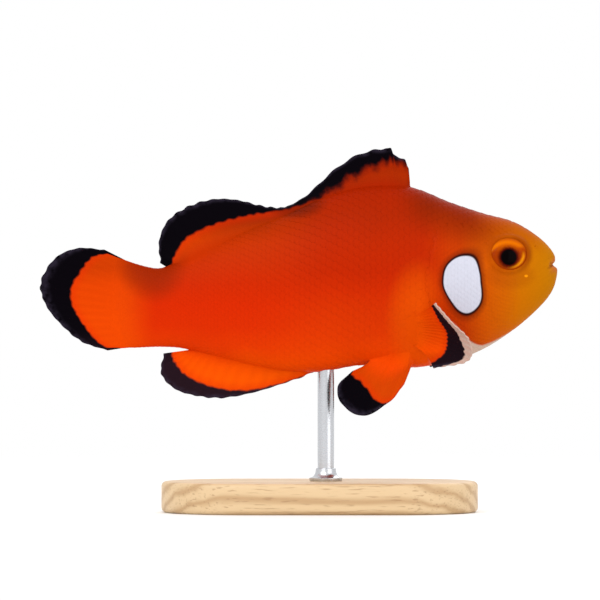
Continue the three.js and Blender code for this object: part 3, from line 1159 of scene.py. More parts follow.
@dataclass(frozen=True)
class Skin:
    """One skin over the whole fish, fins included."""

    form: BodyForm
    face: Face
    fins: Sequence[Fin]
    points_around: int = 40
    sections: int = 54
    fillet_reach: float = 0.6
    fillet_rounds: int = 10
    # Behind these the last rays lie too close to the tail stalk, or the stalk is too thin, for a fillet.
    anal_crotch: float = -12.5
    dorsal_crotch: float = -17.2
    stalk_end: float = -25.8

    def bare_body(self) -> bpy.types.Object:
        """Draws the body out from a ring round the snout, section by section, and rounds it."""
        xs = self.form.stations(self.sections)
        back, belly, half = self.form.measures(xs)
        height = back - belly
        middle = belly + self.form.widest_level * height
        bpy.ops.mesh.primitive_circle_add(vertices=self.points_around, radius=1, fill_type="NOTHING")
        body = bpy.context.object
        across, up, _ = points_of(body).T
        set_points(body, self.form.surface(np.full(len(up), xs[0]), np.arctan2(across, up)))
        with editing(body):
            bpy.ops.mesh.select_all(action="SELECT")
            bpy.ops.mesh.edge_face_add()
            for index in range(1, len(xs)):
                before = index - 1
                move = (xs[index] - xs[before], 0, middle[index] - middle[before])
                bpy.ops.mesh.extrude_region_move(TRANSFORM_OT_translate={"value": move})
                bpy.ops.transform.resize(
                    value=(1, half[index] / half[before], height[index] / height[before]),
                    center_override=(xs[index], 0, middle[index]),
                )
        # The first extrusion leaves the ring at the snout open.
        choose(body, points_of(body)[:, 0] > xs[0] - 1e-4)
        with editing(body):
            bpy.ops.mesh.edge_face_add()
        face_outwards(body)
        finish_with(body, "SUBSURF", levels=2, render_levels=2)
        self._true_up(body)
        return body

    def _true_up(self, body: bpy.types.Object) -> None:
        """Stretches each ring of the rounded body back to its section's full height and width."""
        points = points_of(body)
        xs, ring = np.unique(np.round(points[:, 0], 4), return_inverse=True)
        top = np.full(len(xs), -np.inf)
        bottom = np.full(len(xs), np.inf)
        side = np.full(len(xs), 1e-6)
        np.maximum.at(top, ring, points[:, 2])
        np.minimum.at(bottom, ring, points[:, 2])
        np.maximum.at(side, ring, np.abs(points[:, 1]))
        back, belly, half = self.form.measures(xs)
        whole = np.bincount(ring)[ring] == self.points_around * 4
        share = (points[:, 2] - bottom[ring]) / np.maximum(top - bottom, 1e-6)[ring]
        height = belly[ring] + share * (back - belly)[ring]
        width = points[:, 1] * (half / side)[ring]
        points[:, 1] = np.where(whole, width, points[:, 1])
        points[:, 2] = np.where(whole, height, points[:, 2])
        set_points(body, points)

    def shaped_body(self) -> bpy.types.Object:
        """Gives the bare body its folds."""
        body = self.bare_body()
        choose(body, self.face.fine_region(rows_of(body.data.polygons, "center")), faces=True)
        with editing(body):
            bpy.ops.mesh.subdivide(number_cuts=1, smoothness=0)
        points, normals = points_of(body), rows_of(body.data.vertices, "normal")
        moved = points + normals * self.face.heights(points, normals)[:, None]
        moved[:, 0] -= self.face.parting(points)
        set_points(body, moved)
        with editing(body):
            bpy.ops.mesh.select_all(action="SELECT")
            bpy.ops.mesh.quads_convert_to_tris()
        mark_flesh(body, Flesh.BODY)
        return body

    def build(self) -> tuple[bpy.types.Object, BVHTree]:
        """Builds the skin.

        Returns:
            The skin, and the shaped body without fins, which the scales lie on.
        """
        body = self.shaped_body()
        log.info("body shaped: %d faces", len(body.data.polygons))
        ground = BVHTree.FromObject(body, bpy.context.evaluated_depsgraph_get())
        cutters = [self.face.eye.ball(side, self.face.eye.socket_gap) for side in Side]
        for cutter in cutters:
            mark_flesh(cutter, Flesh.HOLLOW)
        combine(body, cutters, "DIFFERENCE")
        blades = [fin.build() for fin in self.fins]
        log.info("fins built: %d faces", sum(len(blade.data.polygons) for blade in blades))
        combine(body, blades, "UNION")
        self._fillet(body)
        select_only(body)
        bpy.ops.object.shade_smooth_by_angle(angle=math.radians(60))
        return body, ground

    def _fillet(self, body: bpy.types.Object) -> None:
        """Eases the corner where each fin leaves the body."""
        flags = np.empty(len(body.data.loops) * 2)
        body.data.uv_layers[RAY_MAP].data.foreach_get("uv", flags)
        kind = flags.reshape(-1, 2)[:, 1]
        corners = corner_points(body)
        count = len(body.data.vertices)
        touches_fin = np.bincount(corners, kind >= 0, count) > 0
        touches_body = np.bincount(corners, kind == Flesh.BODY.value, count) > 0
        near = touches_fin & touches_body
        points = points_of(body)
        seam = [Vector(point) for point in points[near]]
        tree = BVHTree.FromPolygons(seam, [(index,) * 3 for index in range(len(seam))])
        for index in np.flatnonzero((touches_fin | touches_body) & ~near):
            near[index] = tree.find_nearest(points[index], self.fillet_reach)[0] is not None
        x, _, z = points.T
        in_crotch = (z < -8) & (x < self.anal_crotch)
        in_crotch |= (z > 2) & (x < self.dorsal_crotch)
        choose(body, near & ~in_crotch & (x >= self.stalk_end))
        with editing(body):
            bpy.ops.mesh.vertices_smooth(factor=0.5, repeat=self.fillet_rounds)


@dataclass(frozen=True)
class Patch:
    """A soft oval of one colour on the side view, and how much of the colour it takes at most."""

    tint: Tint
    share: float
    centre: tuple[float, float]
    # The squares of its half length and half height, and how far out the colour is none and full.
    squares: tuple[float, float]
    fade: tuple[float, float]

    def layer(self, x: Value, z: Value) -> tuple[Value, Tint]:
        """Returns its mask and its colour."""
        length, height = self.squares
        away = (x - self.centre[0]) ** 2 / length + (z - self.centre[1]) ** 2 / height
        return away.step(*self.fade) * self.share, self.tint


@dataclass(frozen=True)
class Markings:
    """The colours of the fish, read from the place on its body."""

    face: Face
    gain: float = 0.75
    # Heights over the long axis, with the colour at each: the flank in front and behind, and the fins.
    fore_flank: Stops = (
        (-11.0, (244, 72, 0)),
        (-7.5, (224, 58, 0)),
        (-4.0, (213, 51, 0)),
        (-1.0, (204, 43, 0)),
        (2.0, (192, 38, 0)),
        (6.0, (186, 39, 0)),
        (10.0, (173, 37, 0)),
        (14.0, (171, 35, 0)),
    )
    rear_flank: Stops = (
        (-12.0, (248, 80, 0)),
        (-9.0, (230, 58, 0)),
        (-6.0, (219, 46, 0)),
        (-3.0, (214, 42, 0)),
        (0.0, (204, 41, 0)),
        (3.0, (198, 46, 0)),
        (6.0, (194, 50, 0)),
        (9.0, (174, 48, 0)),
    )
    fin: Stops = (
        (-19.0, (232, 90, 1)),
        (-14.0, (250, 88, 0)),
        (-9.0, (244, 78, 0)),
        (-4.0, (230, 69, 0)),
        (0.0, (224, 66, 0)),
        (2.5, (202, 59, 0)),
        (6.5, (205, 62, 0)),
        (9.0, (156, 40, 1)),
        (11.0, (142, 33, 1)),
        (13.0, (152, 36, 1)),
        (16.0, (170, 43, 1)),
        (19.0, (160, 38, 1)),
    )
    # Places along the fish, with the colour of the head at each.
    head: Stops = (
        (17.5, (208, 56, 0)),
        (20.5, (198, 54, 0)),
        (23.5, (198, 60, 0)),
        (26.5, (209, 84, 0)),
        (29.5, (209, 98, 0)),
        (32.0, (205, 111, 0)),
        (35.0, (199, 116, 0)),
        (37.5, (194, 120, 4)),
    )
    # A painted shade over the top of the tail stalk, darkest along its upper edge.
    stalk: Patch = Patch((150, 36, 0), 0.85, (-21.3, 3.4), (35.0, 42.0), (1.0, 0.0))
    saddle: Patch = Patch((104, 24, 1), 0.75, (-0.6, 11.8), (20.0, 5.0), (1.3, 0.1))
    shoulder: Patch = Patch((238, 90, 0), 0.6, (17.4, -5.0), (20.0, 62.0), (1.5, 0.0))
    # A painted shade under the eye.
    under_eye_shade: Patch = Patch((146, 50, 1), 0.25, (30.5, 1.4), (16.0, 5.0), (1.2, 0.2))
    # How far down the fins' colours still change on the tail.
    tail_level: float = -4.5
    # The lower edge of the nape's dark: a place on it, and how fast it falls toward the snout.
    nape_x: float = 16.5
    nape_z: float = 14.3
    nape_slope: float = 0.38
    # Where the line of the mouth begins to fall toward its corner, and how fast.
    mouth_x: float = 37.0
    mouth_slope: float = 0.62
    # The middle of the cheek spot at its top, and half its width and height.
    spot_x: float = 23.5
    spot_z: float = 0.05
    spot_wide: float = 2.66
    spot_tall: float = 4.12
    # How fine the skin's slow clouds, its grain and the fins' streaks are.
    cloud_scale: float = 0.16
    grain_scale: float = 2.6
    streak_scale: float = 1.1
    detail: float = 3.0
    pelvic: Tint = (202, 63, 0)
    nape: Tint = (138, 34, 1)
    brow: Tint = (180, 70, 0)
    # A painted pale mauve sheen along the top midline of the head.
    rim_sheen: Tint = (132, 74, 80)
    halo: Tint = (104, 28, 4)
    # A painted glint on the small bump below and ahead of the eye.
    painted_glint: Tint = (250, 150, 10)
    spot: Tint = (215, 216, 230)
    black: Tint = (6, 3, 8)
    dusk: Tint = (36, 20, 28)
    # Pale grey-purple at the outer edge of the black: mottling, and also a painted sheen along that edge.
    edge_sheen: Tint = (62, 54, 72)
    # Painted shade for the crease of the mouth.
    mouth: Tint = (112, 40, 14)
    throat: Tint = (212, 184, 166)
    # Painted brown shade round the eye, deepest in front of it.
    orbit_shade: Tint = (146, 50, 1)
    lips: Tint = (198, 96, 62)
    # Painted shade for the walls of the eye sockets.
    hollow: Tint = (120, 42, 2)
    rays: Tint = (180, 40, 0)
    near_black: Tint = (226, 46, 2)
    margin: Tint = (208, 180, 166)
    margin_rays: Tint = (206, 142, 124)

    def colour(self, tint: Tint) -> Colour:
        """Returns one of the colours as light."""
        return paint(*tint, self.gain)

    def stops(self, table: Stops) -> list[tuple[float, Colour]]:
        """Returns a table of colours as light."""
        return [(place, self.colour(tint)) for place, tint in table]

    def cover(
        self, shader: Shader, ground: object, *layers: tuple[Value | float, Tint]
    ) -> bpy.types.NodeSocket:
        """Lays colours over a ground one after another, each as far as its own mask."""
        for share, tint in layers:
            ground = shader.mix(share, ground, self.colour(tint))
        return ground

    def body(self, shader: Shader, place: bpy.types.NodeSocket) -> bpy.types.NodeSocket:
        """Colours the body and head.

        Args:
            shader: The shader that takes the nodes.
            place: The place on the fish.

        Returns:
            The colour.
        """
        x, y, z = shader.parts(place)
        cloud = shader.noise(place, self.cloud_scale, self.detail) - 0.5
        grain = shader.noise(place, self.grain_scale, self.detail) - 0.5
        level = z + cloud * 2.5
        fore = shader.gradient(level, self.stops(self.fore_flank))
        rear = shader.gradient(level, self.stops(self.rear_flank))
        colour = shader.mix((x + cloud * 4).step(6.0, -8.0), fore, rear)
        tail = shader.gradient(z.most(self.tail_level), self.stops(self.fin))
        colour = shader.mix((x + cloud * 2).step(-20.5, -25.5), colour, tail)
        # The painted shade along the top of the tail stalk.
        stalk = self.stalk.layer(x, z - cloud * 2)
        colour = self.cover(shader, colour, stalk, self.saddle.layer(x, z), self.shoulder.layer(x, z))
        head = shader.gradient(x + z * 0.06 + cloud * 1.5, self.stops(self.head))
        colour = shader.mix((x + cloud * 1.5).step(17.5, 22.0), colour, head)
        below_nape = self.nape_z - (x - self.nape_x) * self.nape_slope - z + cloud * 1.5
        ridge = abs(y).step(1.8, 0.1) * z.step(4.0, 6.0)
        from_mouth = abs(z - (x - self.mouth_x).least(0.0) * self.mouth_slope - self.face.lip_level)
        glint_x, glint_z = self.face.pore_and_glint
        from_glint = distance((x - glint_x) * 0.5**0.5, z - glint_z)
        colour = self.cover(
            shader,
            colour,
            (below_nape.step(7.8, 1.0) * x.window(13.0, 19.0, 24.0, 34.0) * 0.9, self.nape),
            (below_nape.step(3.6, 0.2) * x.window(24.0, 30.0, 33.0, 37.0) * 0.5, self.brow),
            # A painted pale mauve sheen along the top midline of the head.
            (ridge * x.window(16.0, 19.0, 32.0, 36.0) * 0.32, self.rim_sheen),
            # Painted brown shade round the eye.
            (self._orbit_shade(x, z), self.orbit_shade),
            # Painted shade under the eye.
            self.under_eye_shade.layer(x, z),
            (from_mouth.step(1.5, 0.5) * x.step(36.0, 37.4) * 0.6, self.lips),
            # Painted shade along the mouth's crease.
            (from_mouth.step(0.3, 0.06) * x.step(35.8, 36.8) * 0.5, self.mouth),
            # A painted glint on the small bump below and ahead of the eye.
            (from_glint.step(0.26, 0.1), self.painted_glint),
            *self._spot(x, z),
        )
        grey = 1.0 + grain * 0.12
        shade = shader.node("ShaderNodeCombineColor", None, {0: grey, 1: grey, 2: grey}).outputs[0]
        return shader.mix(1.0, colour, shade, "MULTIPLY")

    def _orbit_shade(self, x: Value, z: Value) -> Value:
        """Masks the painted brown shade round the eye, deepest in front of it."""
        eye = self.face.eye
        ahead, up = (x - eye.x) / eye.wide, (z - eye.z) / eye.tall
        away = distance(ahead, up).most(0.05)
        front = ((ahead * 0.97 + up * 0.25) / away).step(0.1, 0.95)
        return away.step(3.6, 2.5) * (front * 0.56 + 0.24)

    def bare(self, shader: Shader, place: bpy.types.NodeSocket, body: object) -> bpy.types.NodeSocket:
        """Adds the pale throat, which the body has and the fins in front of it have not."""
        x, _, z = shader.parts(place)
        return shader.mix(self._throat(x, z), body, self.colour(self.throat))

    def _throat(self, x: Value, z: Value) -> Value:
        """Masks the pale throat under the gill covers."""
        from_lowest = x - self.face.throat_x
        edge = self.face.trough(from_lowest.most(0.0), from_lowest.least(0.0))
        reach = x.window(18.5, 20.5, 29.6, 32.0) * z.step(-5.2, -7.2)
        return (z - edge).step(0.12, -0.22) * reach

    def _spot(self, x: Value, z: Value) -> tuple[tuple[Value, Tint], ...]:
        """Lays out the white cheek spot, its thin black outline and the shade round it."""
        height = abs(z - self.spot_z) / self.spot_tall
        centre = z.step(0.6, -3.2) * 0.68 + (z - 1.8).most(0.0) ** 2 * 0.1 + self.spot_x
        beside = abs(x - centre) / self.spot_wide
        power = 1.87 + z.step(-1.0, 1.5) * 0.46
        inside = (beside**power + height**power) ** (1 / power)
        return (
            (inside.step(1.42, 1.1) * 0.55, self.halo),
            (inside.step(1.15, 1.05) * 0.92, self.black),
            (inside.step(1.03, 0.97), self.spot),
        )

    def fins(self, shader: Shader, place: bpy.types.NodeSocket, body: object) -> bpy.types.NodeSocket:
        """Colours the fins, and paints shade into the hollows of the eye sockets, over the body's colour.

        Args:
            shader: The shader that takes the nodes.
            place: The place on the fish.
            body: The body's colour.

        Returns:
            The colour.
        """
        x, _, z = shader.parts(place)
        phase, out = shader.corner(RAY_MAP)
        ink, beyond = shader.corner(INK_MAP)
        ray = (phase * (2 * math.pi) + math.pi / 2).sine() * 0.5 + 0.5
        streak = shader.noise(place, self.streak_scale, self.detail) - 0.5
        spiny = z.step(11.5, 13.5) * x.step(-1.0, 3.0)
        level = z + (z.most(self.tail_level) - z) * x.step(-19.0, -21.5)
        saddle, saddle_tint = self.saddle.layer(x, z)
        colour = self.cover(
            shader,
            shader.gradient(level, self.stops(self.fin)),
            (x.step(3.0, 5.0) * z.step(-9.2, -10.8) * 0.85, self.pelvic),
            (ink.step(-1.6, 0.0) * 0.45, self.near_black),
            (ink.step(-2.0, 0.0) * spiny * 0.4, saddle_tint),
            ((1 - ray) * 0.08, self.rays),
            (saddle * 0.8, saddle_tint),
        )
        colour = shader.mix(out.step(0.08, 0.5), body, colour)
        feather = ray * 0.4 - 0.2 + streak * 1.1
        edge = ink + feather * (0.4 + spiny * 1.0)
        black = edge.step(-0.22, 0.22) * (1 - spiny) + edge.step(-1.25, 0.7) * spiny
        faded = z.step(-6.0, -12.0) * x.step(2.0, -2.0) + x.step(14.0, 17.0) * z.step(0.0, -2.0) * 0.55
        # Grey mottling near the black's outer edge, which also paints a pale sheen along that edge.
        mottle_and_sheen = (streak * 1.8 + 0.3).most(0.0) * out.step(0.88, 1.0)
        tints = ((faded, self.dusk), (mottle_and_sheen.least(0.4), self.edge_sheen))
        colour = shader.mix(black, colour, self.cover(shader, self.colour(self.black), *tints))
        pale = (beyond + ray * 0.25 + streak * 0.7).step(-0.1, 0.22)
        margin = self.cover(shader, self.colour(self.margin), (ray * 0.3, self.margin_rays))
        colour = shader.mix(pale, colour, margin)
        colour = shader.mix(out.above(-0.5), self.bare(shader, place, body), colour)
        # The walls of the eye sockets take a painted shade.
        off_hollow = out.above((Flesh.BODY.value + Flesh.HOLLOW.value) / 2)
        return shader.mix(off_hollow, self.colour(self.hollow), colour)


@dataclass(frozen=True)
class SkinFinish:
    """Smooth, faintly grained skin with the fish's markings."""

    markings: Markings

    def material(self, anchor: Anchor) -> bpy.types.Material:
        """Makes the finish."""
        shader = Shader("skin")
        place = anchor.place(shader)
        body = self.markings.body(shader, place)
        colour = self.markings.fins(shader, place, body)
        phase, out = shader.corner(RAY_MAP)
        joints = (out * 150 + phase * 0.7).sine() * out.above(0.25) * 0.12
        grain = shader.noise(place, 5.0, 3.0) + joints
        return shader.surface(
            {
                "Base Color": colour,
                "Roughness": grain * 0.12 + 0.46,
                "Specular IOR Level": 0.014,
                "Normal": shader.relief(grain, 0.00002, 0.7),
            }
        )


# --- Scales ---


@dataclass(frozen=True)
class ScaleFinish:
    """The skin's markings on thin plates with fine growth rings."""

    markings: Markings
    # How close the rings lie, how far from the root the edge dims, and what it is multiplied by.
    ring_pitch: float = 34.0
    edge: tuple[float, float] = (1.7, 2.2)
    dimmer: Colour = (0.55, 0.5, 0.5, 1.0)

    def material(self, anchor: Anchor) -> bpy.types.Material:
        """Makes the finish."""
        shader = Shader("scale")
        place = anchor.place(shader)
        body = self.markings.bare(shader, place, self.markings.body(shader, place))
        across, along = shader.corner(SCALE_MAP)
        from_root = distance(across, along - 1.2)
        rings = (from_root * self.ring_pitch).sine() * 0.5 + 0.5
        dimmed = shader.mix(1.0, body, self.dimmer, "MULTIPLY")
        colour = shader.mix(from_root.step(*self.edge) * 0.12, body, dimmed)
        return shader.surface(
            {
                "Base Color": colour,
                "Roughness": rings * 0.06 + 0.4,
                "Specular IOR Level": 0.018,
                "Normal": shader.relief(rings, 0.000006, 0.6),
            }
        )


@dataclass(frozen=True)
class ScaleField:
    """One stretch of scales, with how many rows go half the way round the body."""

    on_cheek: bool
    rows: int
    first_x: float
    last_x: float


@dataclass(frozen=True)
class ScaleCoat:
    """The scales: thin plates in staggered rows, each lying back over the root of the next."""

    form: BodyForm
    face: Face
    fields: tuple[ScaleField, ...] = (
        ScaleField(on_cheek=False, rows=24, first_x=31.6, last_x=-26.6),
        ScaleField(on_cheek=True, rows=36, first_x=32.2, last_x=18.0),
    )
    pitch: float = 0.62
    length: float = 1.75
    width: float = 1.06
    lift: float = 0.065
    # How far behind its own place on the body a scale's middle lies, in pitches.
    setback: float = 0.3
    # How wide a scale is that has the full lift.
    lifted_width: float = 1.1
    outline_points: int = 12
    # How much the outline narrows toward the root, and how far out the inner ring of points lies.
    taper: float = 0.25
    inner_ring: float = 0.6
    # Heights over the body, as shares of the lift: the middle, the inner ring and the edge at the
    # root, each with its rise from there to the free end, and the underside.
    middle_height: float = 0.72
    inner_heights: tuple[float, float] = (0.25, 0.85)
    edge_heights: tuple[float, float] = (0.1, 0.75)
    under_height: float = -0.6
    # The size of a scale in the baked map, and the map's margins.
    patch: float = 0.003
    margins: tuple[float, float] = (0.02, 0.03)
    # The size and lift of a scale where the coat thins out, and over what distance they grow to 1.
    smallest: float = 0.72
    lowest: float = 0.3
    fade: float = 2.4
    jitter: float = 0.05
    seed: int = 7
    # How far the scales keep from the eye's middle, from the edges of the plates and from the middle
    # of the pectoral fin's base.
    eye_gap: float = 2.95
    cheek_gaps: tuple[float, float] = (0.16, 0.05)
    body_gaps: tuple[float, float] = (0.3, 0.12)
    base_gap: float = 1.5
    # The scales end at curves ahead and behind: a place along the fish, how fast each bends inwards,
    # and the height where the bend begins.
    cheek_front: tuple[float, float, float] = (31.7, 0.045, -0.5)
    body_front: tuple[float, float, float] = (31.6, 0.05, 7.0)
    tail_end: tuple[float, float, float] = (-26.3, 0.04, -3.0)
    # They end this far under the upper edge of the throat's pale part, which counts only ahead of a
    # place along the fish, and is taken no higher than a level.
    throat_gap: float = 0.5
    throat_from: float = 18.8
    throat_top: float = -6.4

    def template(self) -> tuple[Array, Array, list[tuple[int, ...]]]:
        """Draws one scale.

        Returns:
            Its points as places across and along, where 1 along is the root and -1 the free edge; the
            height of each from 0, sunk, to 1, lifted; and its faces.
        """
        count = self.outline_points
        angle = 2 * np.pi * np.arange(count) / count
        ring = np.stack([np.sin(angle), np.cos(angle)], axis=1)
        ring[:, 0] *= np.where(ring[:, 1] > 0, 1 - self.taper * ring[:, 1], 1)
        places = np.vstack([[[0, 0]], ring * self.inner_ring, ring, ring])
        low, rise = self.inner_heights
        inner = low + rise * (1 - ring[:, 1] * self.inner_ring) / 2
        low, rise = self.edge_heights
        edge = low + rise * (1 - ring[:, 1]) / 2
        heights = np.concatenate([[self.middle_height], inner, edge, np.full(count, self.under_height)])
        faces: list[tuple[int, ...]] = []
        for index in range(count):
            after = (index + 1) % count
            near, outer, under = (1 + count * ring_index + index for ring_index in range(3))
            near_next, outer_next, under_next = (1 + count * ring_index + after for ring_index in range(3))
            faces.append((0, near_next, near))
            faces.append((near, near_next, outer_next, outer))
            faces.append((outer, outer_next, under_next, under))
        faces.append(tuple(1 + 2 * count + index for index in range(count)))
        return places, heights, faces

    def columns(self, scales: ScaleField) -> Array:
        """Spaces a field's columns from front to back, as far apart as the scales are long there."""
        xs = [scales.first_x]
        while xs[-1] > scales.last_x:
            girth = self._girth(np.array([xs[-1]]))[0]
            xs.append(xs[-1] - self.pitch * girth / scales.rows)
        return np.array(xs)

    def _girth(self, x: Array) -> Array:
        """Measures half the way round the body at each x."""
        angles = np.linspace(0, np.pi, 80)
        sections = self.form.surface(np.repeat(x, 80), np.tile(angles, len(x))).reshape(len(x), 80, 3)
        return np.linalg.norm(np.diff(sections, axis=1), axis=2).sum(axis=1)

    def _angle_at(self, x: float, shares: Array) -> Array:
        """Finds the angles at which the way round a section has these shares of its length."""
        angles = np.linspace(0, np.pi, 160)
        section = self.form.surface(np.full(160, x), angles)
        way = np.concatenate([[0], np.linalg.norm(np.diff(section, axis=0), axis=1).cumsum()])
        return np.interp(shares * way[-1], way, angles)

    def _room(self, points: Array, on_cheek: bool) -> tuple[Array, Array]:
        """Measures how much room a scale has at each place.

        Args:
            points: The places on the body's right or left.
            on_cheek: Whether the field is the cheek's.

        Returns:
            How far inside the field each place is, less than 0 outside it, and how far it is from the
            places where the coat thins out.
        """
        x, _, z = points.T
        view = points[:, [0, 2]]
        face = self.face
        around_eye = (face.eye.away(x, z) - self.eye_gap) * 2
        from_gill, _ = line_distance(view, face.line(face.gill_line))
        over_temple, _ = line_distance(view, face.line(face.temple))
        from_lowest = x - face.throat_x
        throat = face.trough(np.maximum(from_lowest, 0), np.minimum(from_lowest, 0))
        over_throat = z - np.minimum(throat, self.throat_top) + self.throat_gap
        over_throat = np.where(x > self.throat_from, over_throat, self.fade)
        if on_cheek:
            front, bend, level = self.cheek_front
            snout = front - bend * (z - level) ** 2 - x
            thinning = np.minimum.reduce([around_eye, snout, over_throat])
            before_gill, under_temple = self.cheek_gaps
            inside = np.minimum(from_gill - before_gill, -over_temple - under_temple)
            return np.minimum(thinning, inside), thinning
        front, bend, level = self.body_front
        snout = front - bend * np.maximum(z - level, 0) ** 2 - x
        end, bend, level = self.tail_end
        tail = x - end - bend * (z - level) ** 2
        base = np.hypot(x - face.pectoral_base[0] + 0.2, (z - face.pectoral_base[1]) / 1.55) - self.base_gap
        behind_gill, over_cheek = self.body_gaps
        outside = np.maximum(-from_gill - behind_gill, over_temple - over_cheek)
        thinning = np.minimum.reduce([around_eye, snout, tail, over_throat])
        return np.minimum.reduce([thinning, base, outside]), thinning

    def build(self, side: Side, ground: BVHTree) -> bpy.types.Object:
        """Builds the scales of one side as one mesh.

        Args:
            side: The side of the fish.
            ground: The shaped body that they lie on.

        Returns:
            The scales.
        """
        chance = np.random.default_rng(self.seed)
        places = self.template()[0]
        flip = np.array([1, side.value, 1])
        length = self.form.snout_x - self.form.tail_x
        end_margin, side_margin = self.margins
        blocks: list[tuple[Array, Array, float]] = []
        patches = []
        for scales in self.fields:
            rows = scales.rows
            for column, x in enumerate(self.columns(scales)):
                shares = (np.arange(rows) + 0.25 + 0.5 * (column % 2)) / rows
                angles = self._angle_at(x, shares)
                roots = self.form.surface(np.full(rows, x), angles)
                room, thinning = self._room(roots, scales.on_cheek)
                kept = (room > 0) & (shares > 0.01) & (shares < 0.99)
                if not kept.any():
                    continue
                size = self._girth(np.array([x]))[0] / rows
                behind = self.form.surface(np.full(rows, x - 0.2), self._angle_at(x - 0.2, shares))
                beside = self.form.surface(np.full(rows, x), angles + 0.02)
                roots, behind, beside = roots[kept] * flip, behind[kept] * flip, beside[kept] * flip
                back = behind - roots
                back /= np.linalg.norm(back, axis=1)[:, None]
                outward = np.cross(beside - roots, back) * side.value
                outward /= np.linalg.norm(outward, axis=1)[:, None]
                across = np.cross(outward, back)
                for index, share in enumerate(step(thinning[kept], 0, self.fade)):
                    grown = self.smallest + (1 - self.smallest) * share
                    turn = chance.normal(0, self.jitter)
                    along = back[index] + across[index] * turn
                    aside = across[index] - back[index] * turn
                    middle = roots[index] + back[index] * size * self.pitch * self.setback
                    half_width = size * self.width / 2 * grown
                    half_length = size * self.pitch * self.length / 2 * grown
                    spread = middle + np.outer(places[:, 0] * half_width, aside)
                    spread -= np.outer(places[:, 1] * half_length, along)
                    lift = self.lift * size / self.lifted_width
                    lift *= self.lowest + (1 - self.lowest) * share
                    lift *= 1 + chance.normal(0, self.jitter)
                    blocks.append((spread, outward[index], lift))
                u = end_margin + (1 - 2 * end_margin) * (self.form.snout_x - x) / length
                v = side_margin + (1 - 2 * side_margin) * shares[kept]
                patches.append(np.stack([np.full(len(roots), u), v], axis=1))
        return self._mesh(blocks, np.vstack(patches), ground)

    def _mesh(
        self, blocks: Sequence[tuple[Array, Array, float]], patches: Array, ground: BVHTree
    ) -> bpy.types.Object:
        """Lays the scales on the ground and joins them into one mesh with its maps."""
        places, heights, faces = self.template()
        count = len(places)
        ring = 1 + self.outline_points * 2
        points = np.empty((len(blocks), count, 3))
        for index, (spread, outward, lift) in enumerate(blocks):
            for corner in range(ring):
                points[index, corner] = ground.find_nearest(spread[corner])[0]
            points[index, ring:] = points[index, ring - self.outline_points : ring]
            points[index] += np.outer(heights * lift, outward)
        starts = range(0, len(blocks) * count, count)
        all_faces = [tuple(start + corner for corner in face) for start in starts for face in faces]
        mesh = bpy.data.meshes.new("scales")
        mesh.from_pydata(points.reshape(-1, 3).tolist(), [], all_faces)
        mesh.update()
        piece = bpy.data.objects.new("scales", mesh)
        bpy.context.scene.collection.objects.link(piece)
        local = np.tile(places, (len(blocks), 1))
        map_corners(piece, BAKE_MAP, np.repeat(patches, count, axis=0) + local * self.patch / 2)
        map_corners(piece, SCALE_MAP, local)
        face_outwards(piece)
        select_only(piece)
        bpy.ops.object.shade_smooth_by_angle(angle=math.radians(50))
        return piece

    def dress(self, anchor: Anchor, ground: BVHTree, markings: Markings) -> None:
        """Builds and dresses the scales of both sides."""
        material = ScaleFinish(markings).material(anchor)
        for side in Side:
            piece = self.build(side, ground)
            anchor.settle(piece)
            present(piece, f"scales_{side.name.lower()}", material)


# --- The stand ---


@dataclass(frozen=True)
class WoodFinish:
    """Pale ash under oil, with fine open grain along its length."""

    light: Colour = paint(206, 178, 138)
    dark: Colour = paint(168, 132, 90)
    line: Colour = paint(140, 104, 68)

    def material(self) -> bpy.types.Material:
        """Makes the finish."""
        shader = Shader("oiled_ash")
        stretched = shader.place((1 / MM * 0.09, 1 / MM, 1 / MM))
        slow = shader.noise(stretched, 0.25, 3.0)
        _, y, z = shader.parts(stretched)
        rings = ((y * 0.9 + z * 1.7 + slow * 7.0) * 1.5).sine() * 0.5 + 0.5
        lengthways = shader.place((1 / MM * 0.35, 1 / MM * 4, 1 / MM * 4))
        pores = shader.noise(lengthways, 0.9, 2.0).step(0.56, 0.7)
        colour = shader.mix(rings**2 * 0.7, self.light, self.dark)
        colour = shader.mix(pores * 0.45, colour, self.line)
        return shader.surface(
            {
                "Base Color": colour,
                "Roughness": pores * 0.2 + 0.42,
                "Specular IOR Level": 0.35,
                "Normal": shader.relief(1 - pores, 0.00003, 0.6),
            }
        )


@dataclass(frozen=True)
class SteelFinish:
    """Brushed stainless steel with fine turning marks."""

    tone: Colour = paint(196, 198, 202)

    def material(self) -> bpy.types.Material:
        """Makes the finish."""
        shader = Shader("brushed_steel")
        marks = shader.noise(shader.place((1 / MM * 0.4, 1 / MM * 0.4, 1 / MM * 14)), 1.0, 2.0)
        return shader.surface(
            {
                "Base Color": self.tone,
                "Metallic": 1.0,
                "Roughness": marks * 0.16 + 0.2,
                "Normal": shader.relief(marks, 0.000008, 0.5),
            }
        )


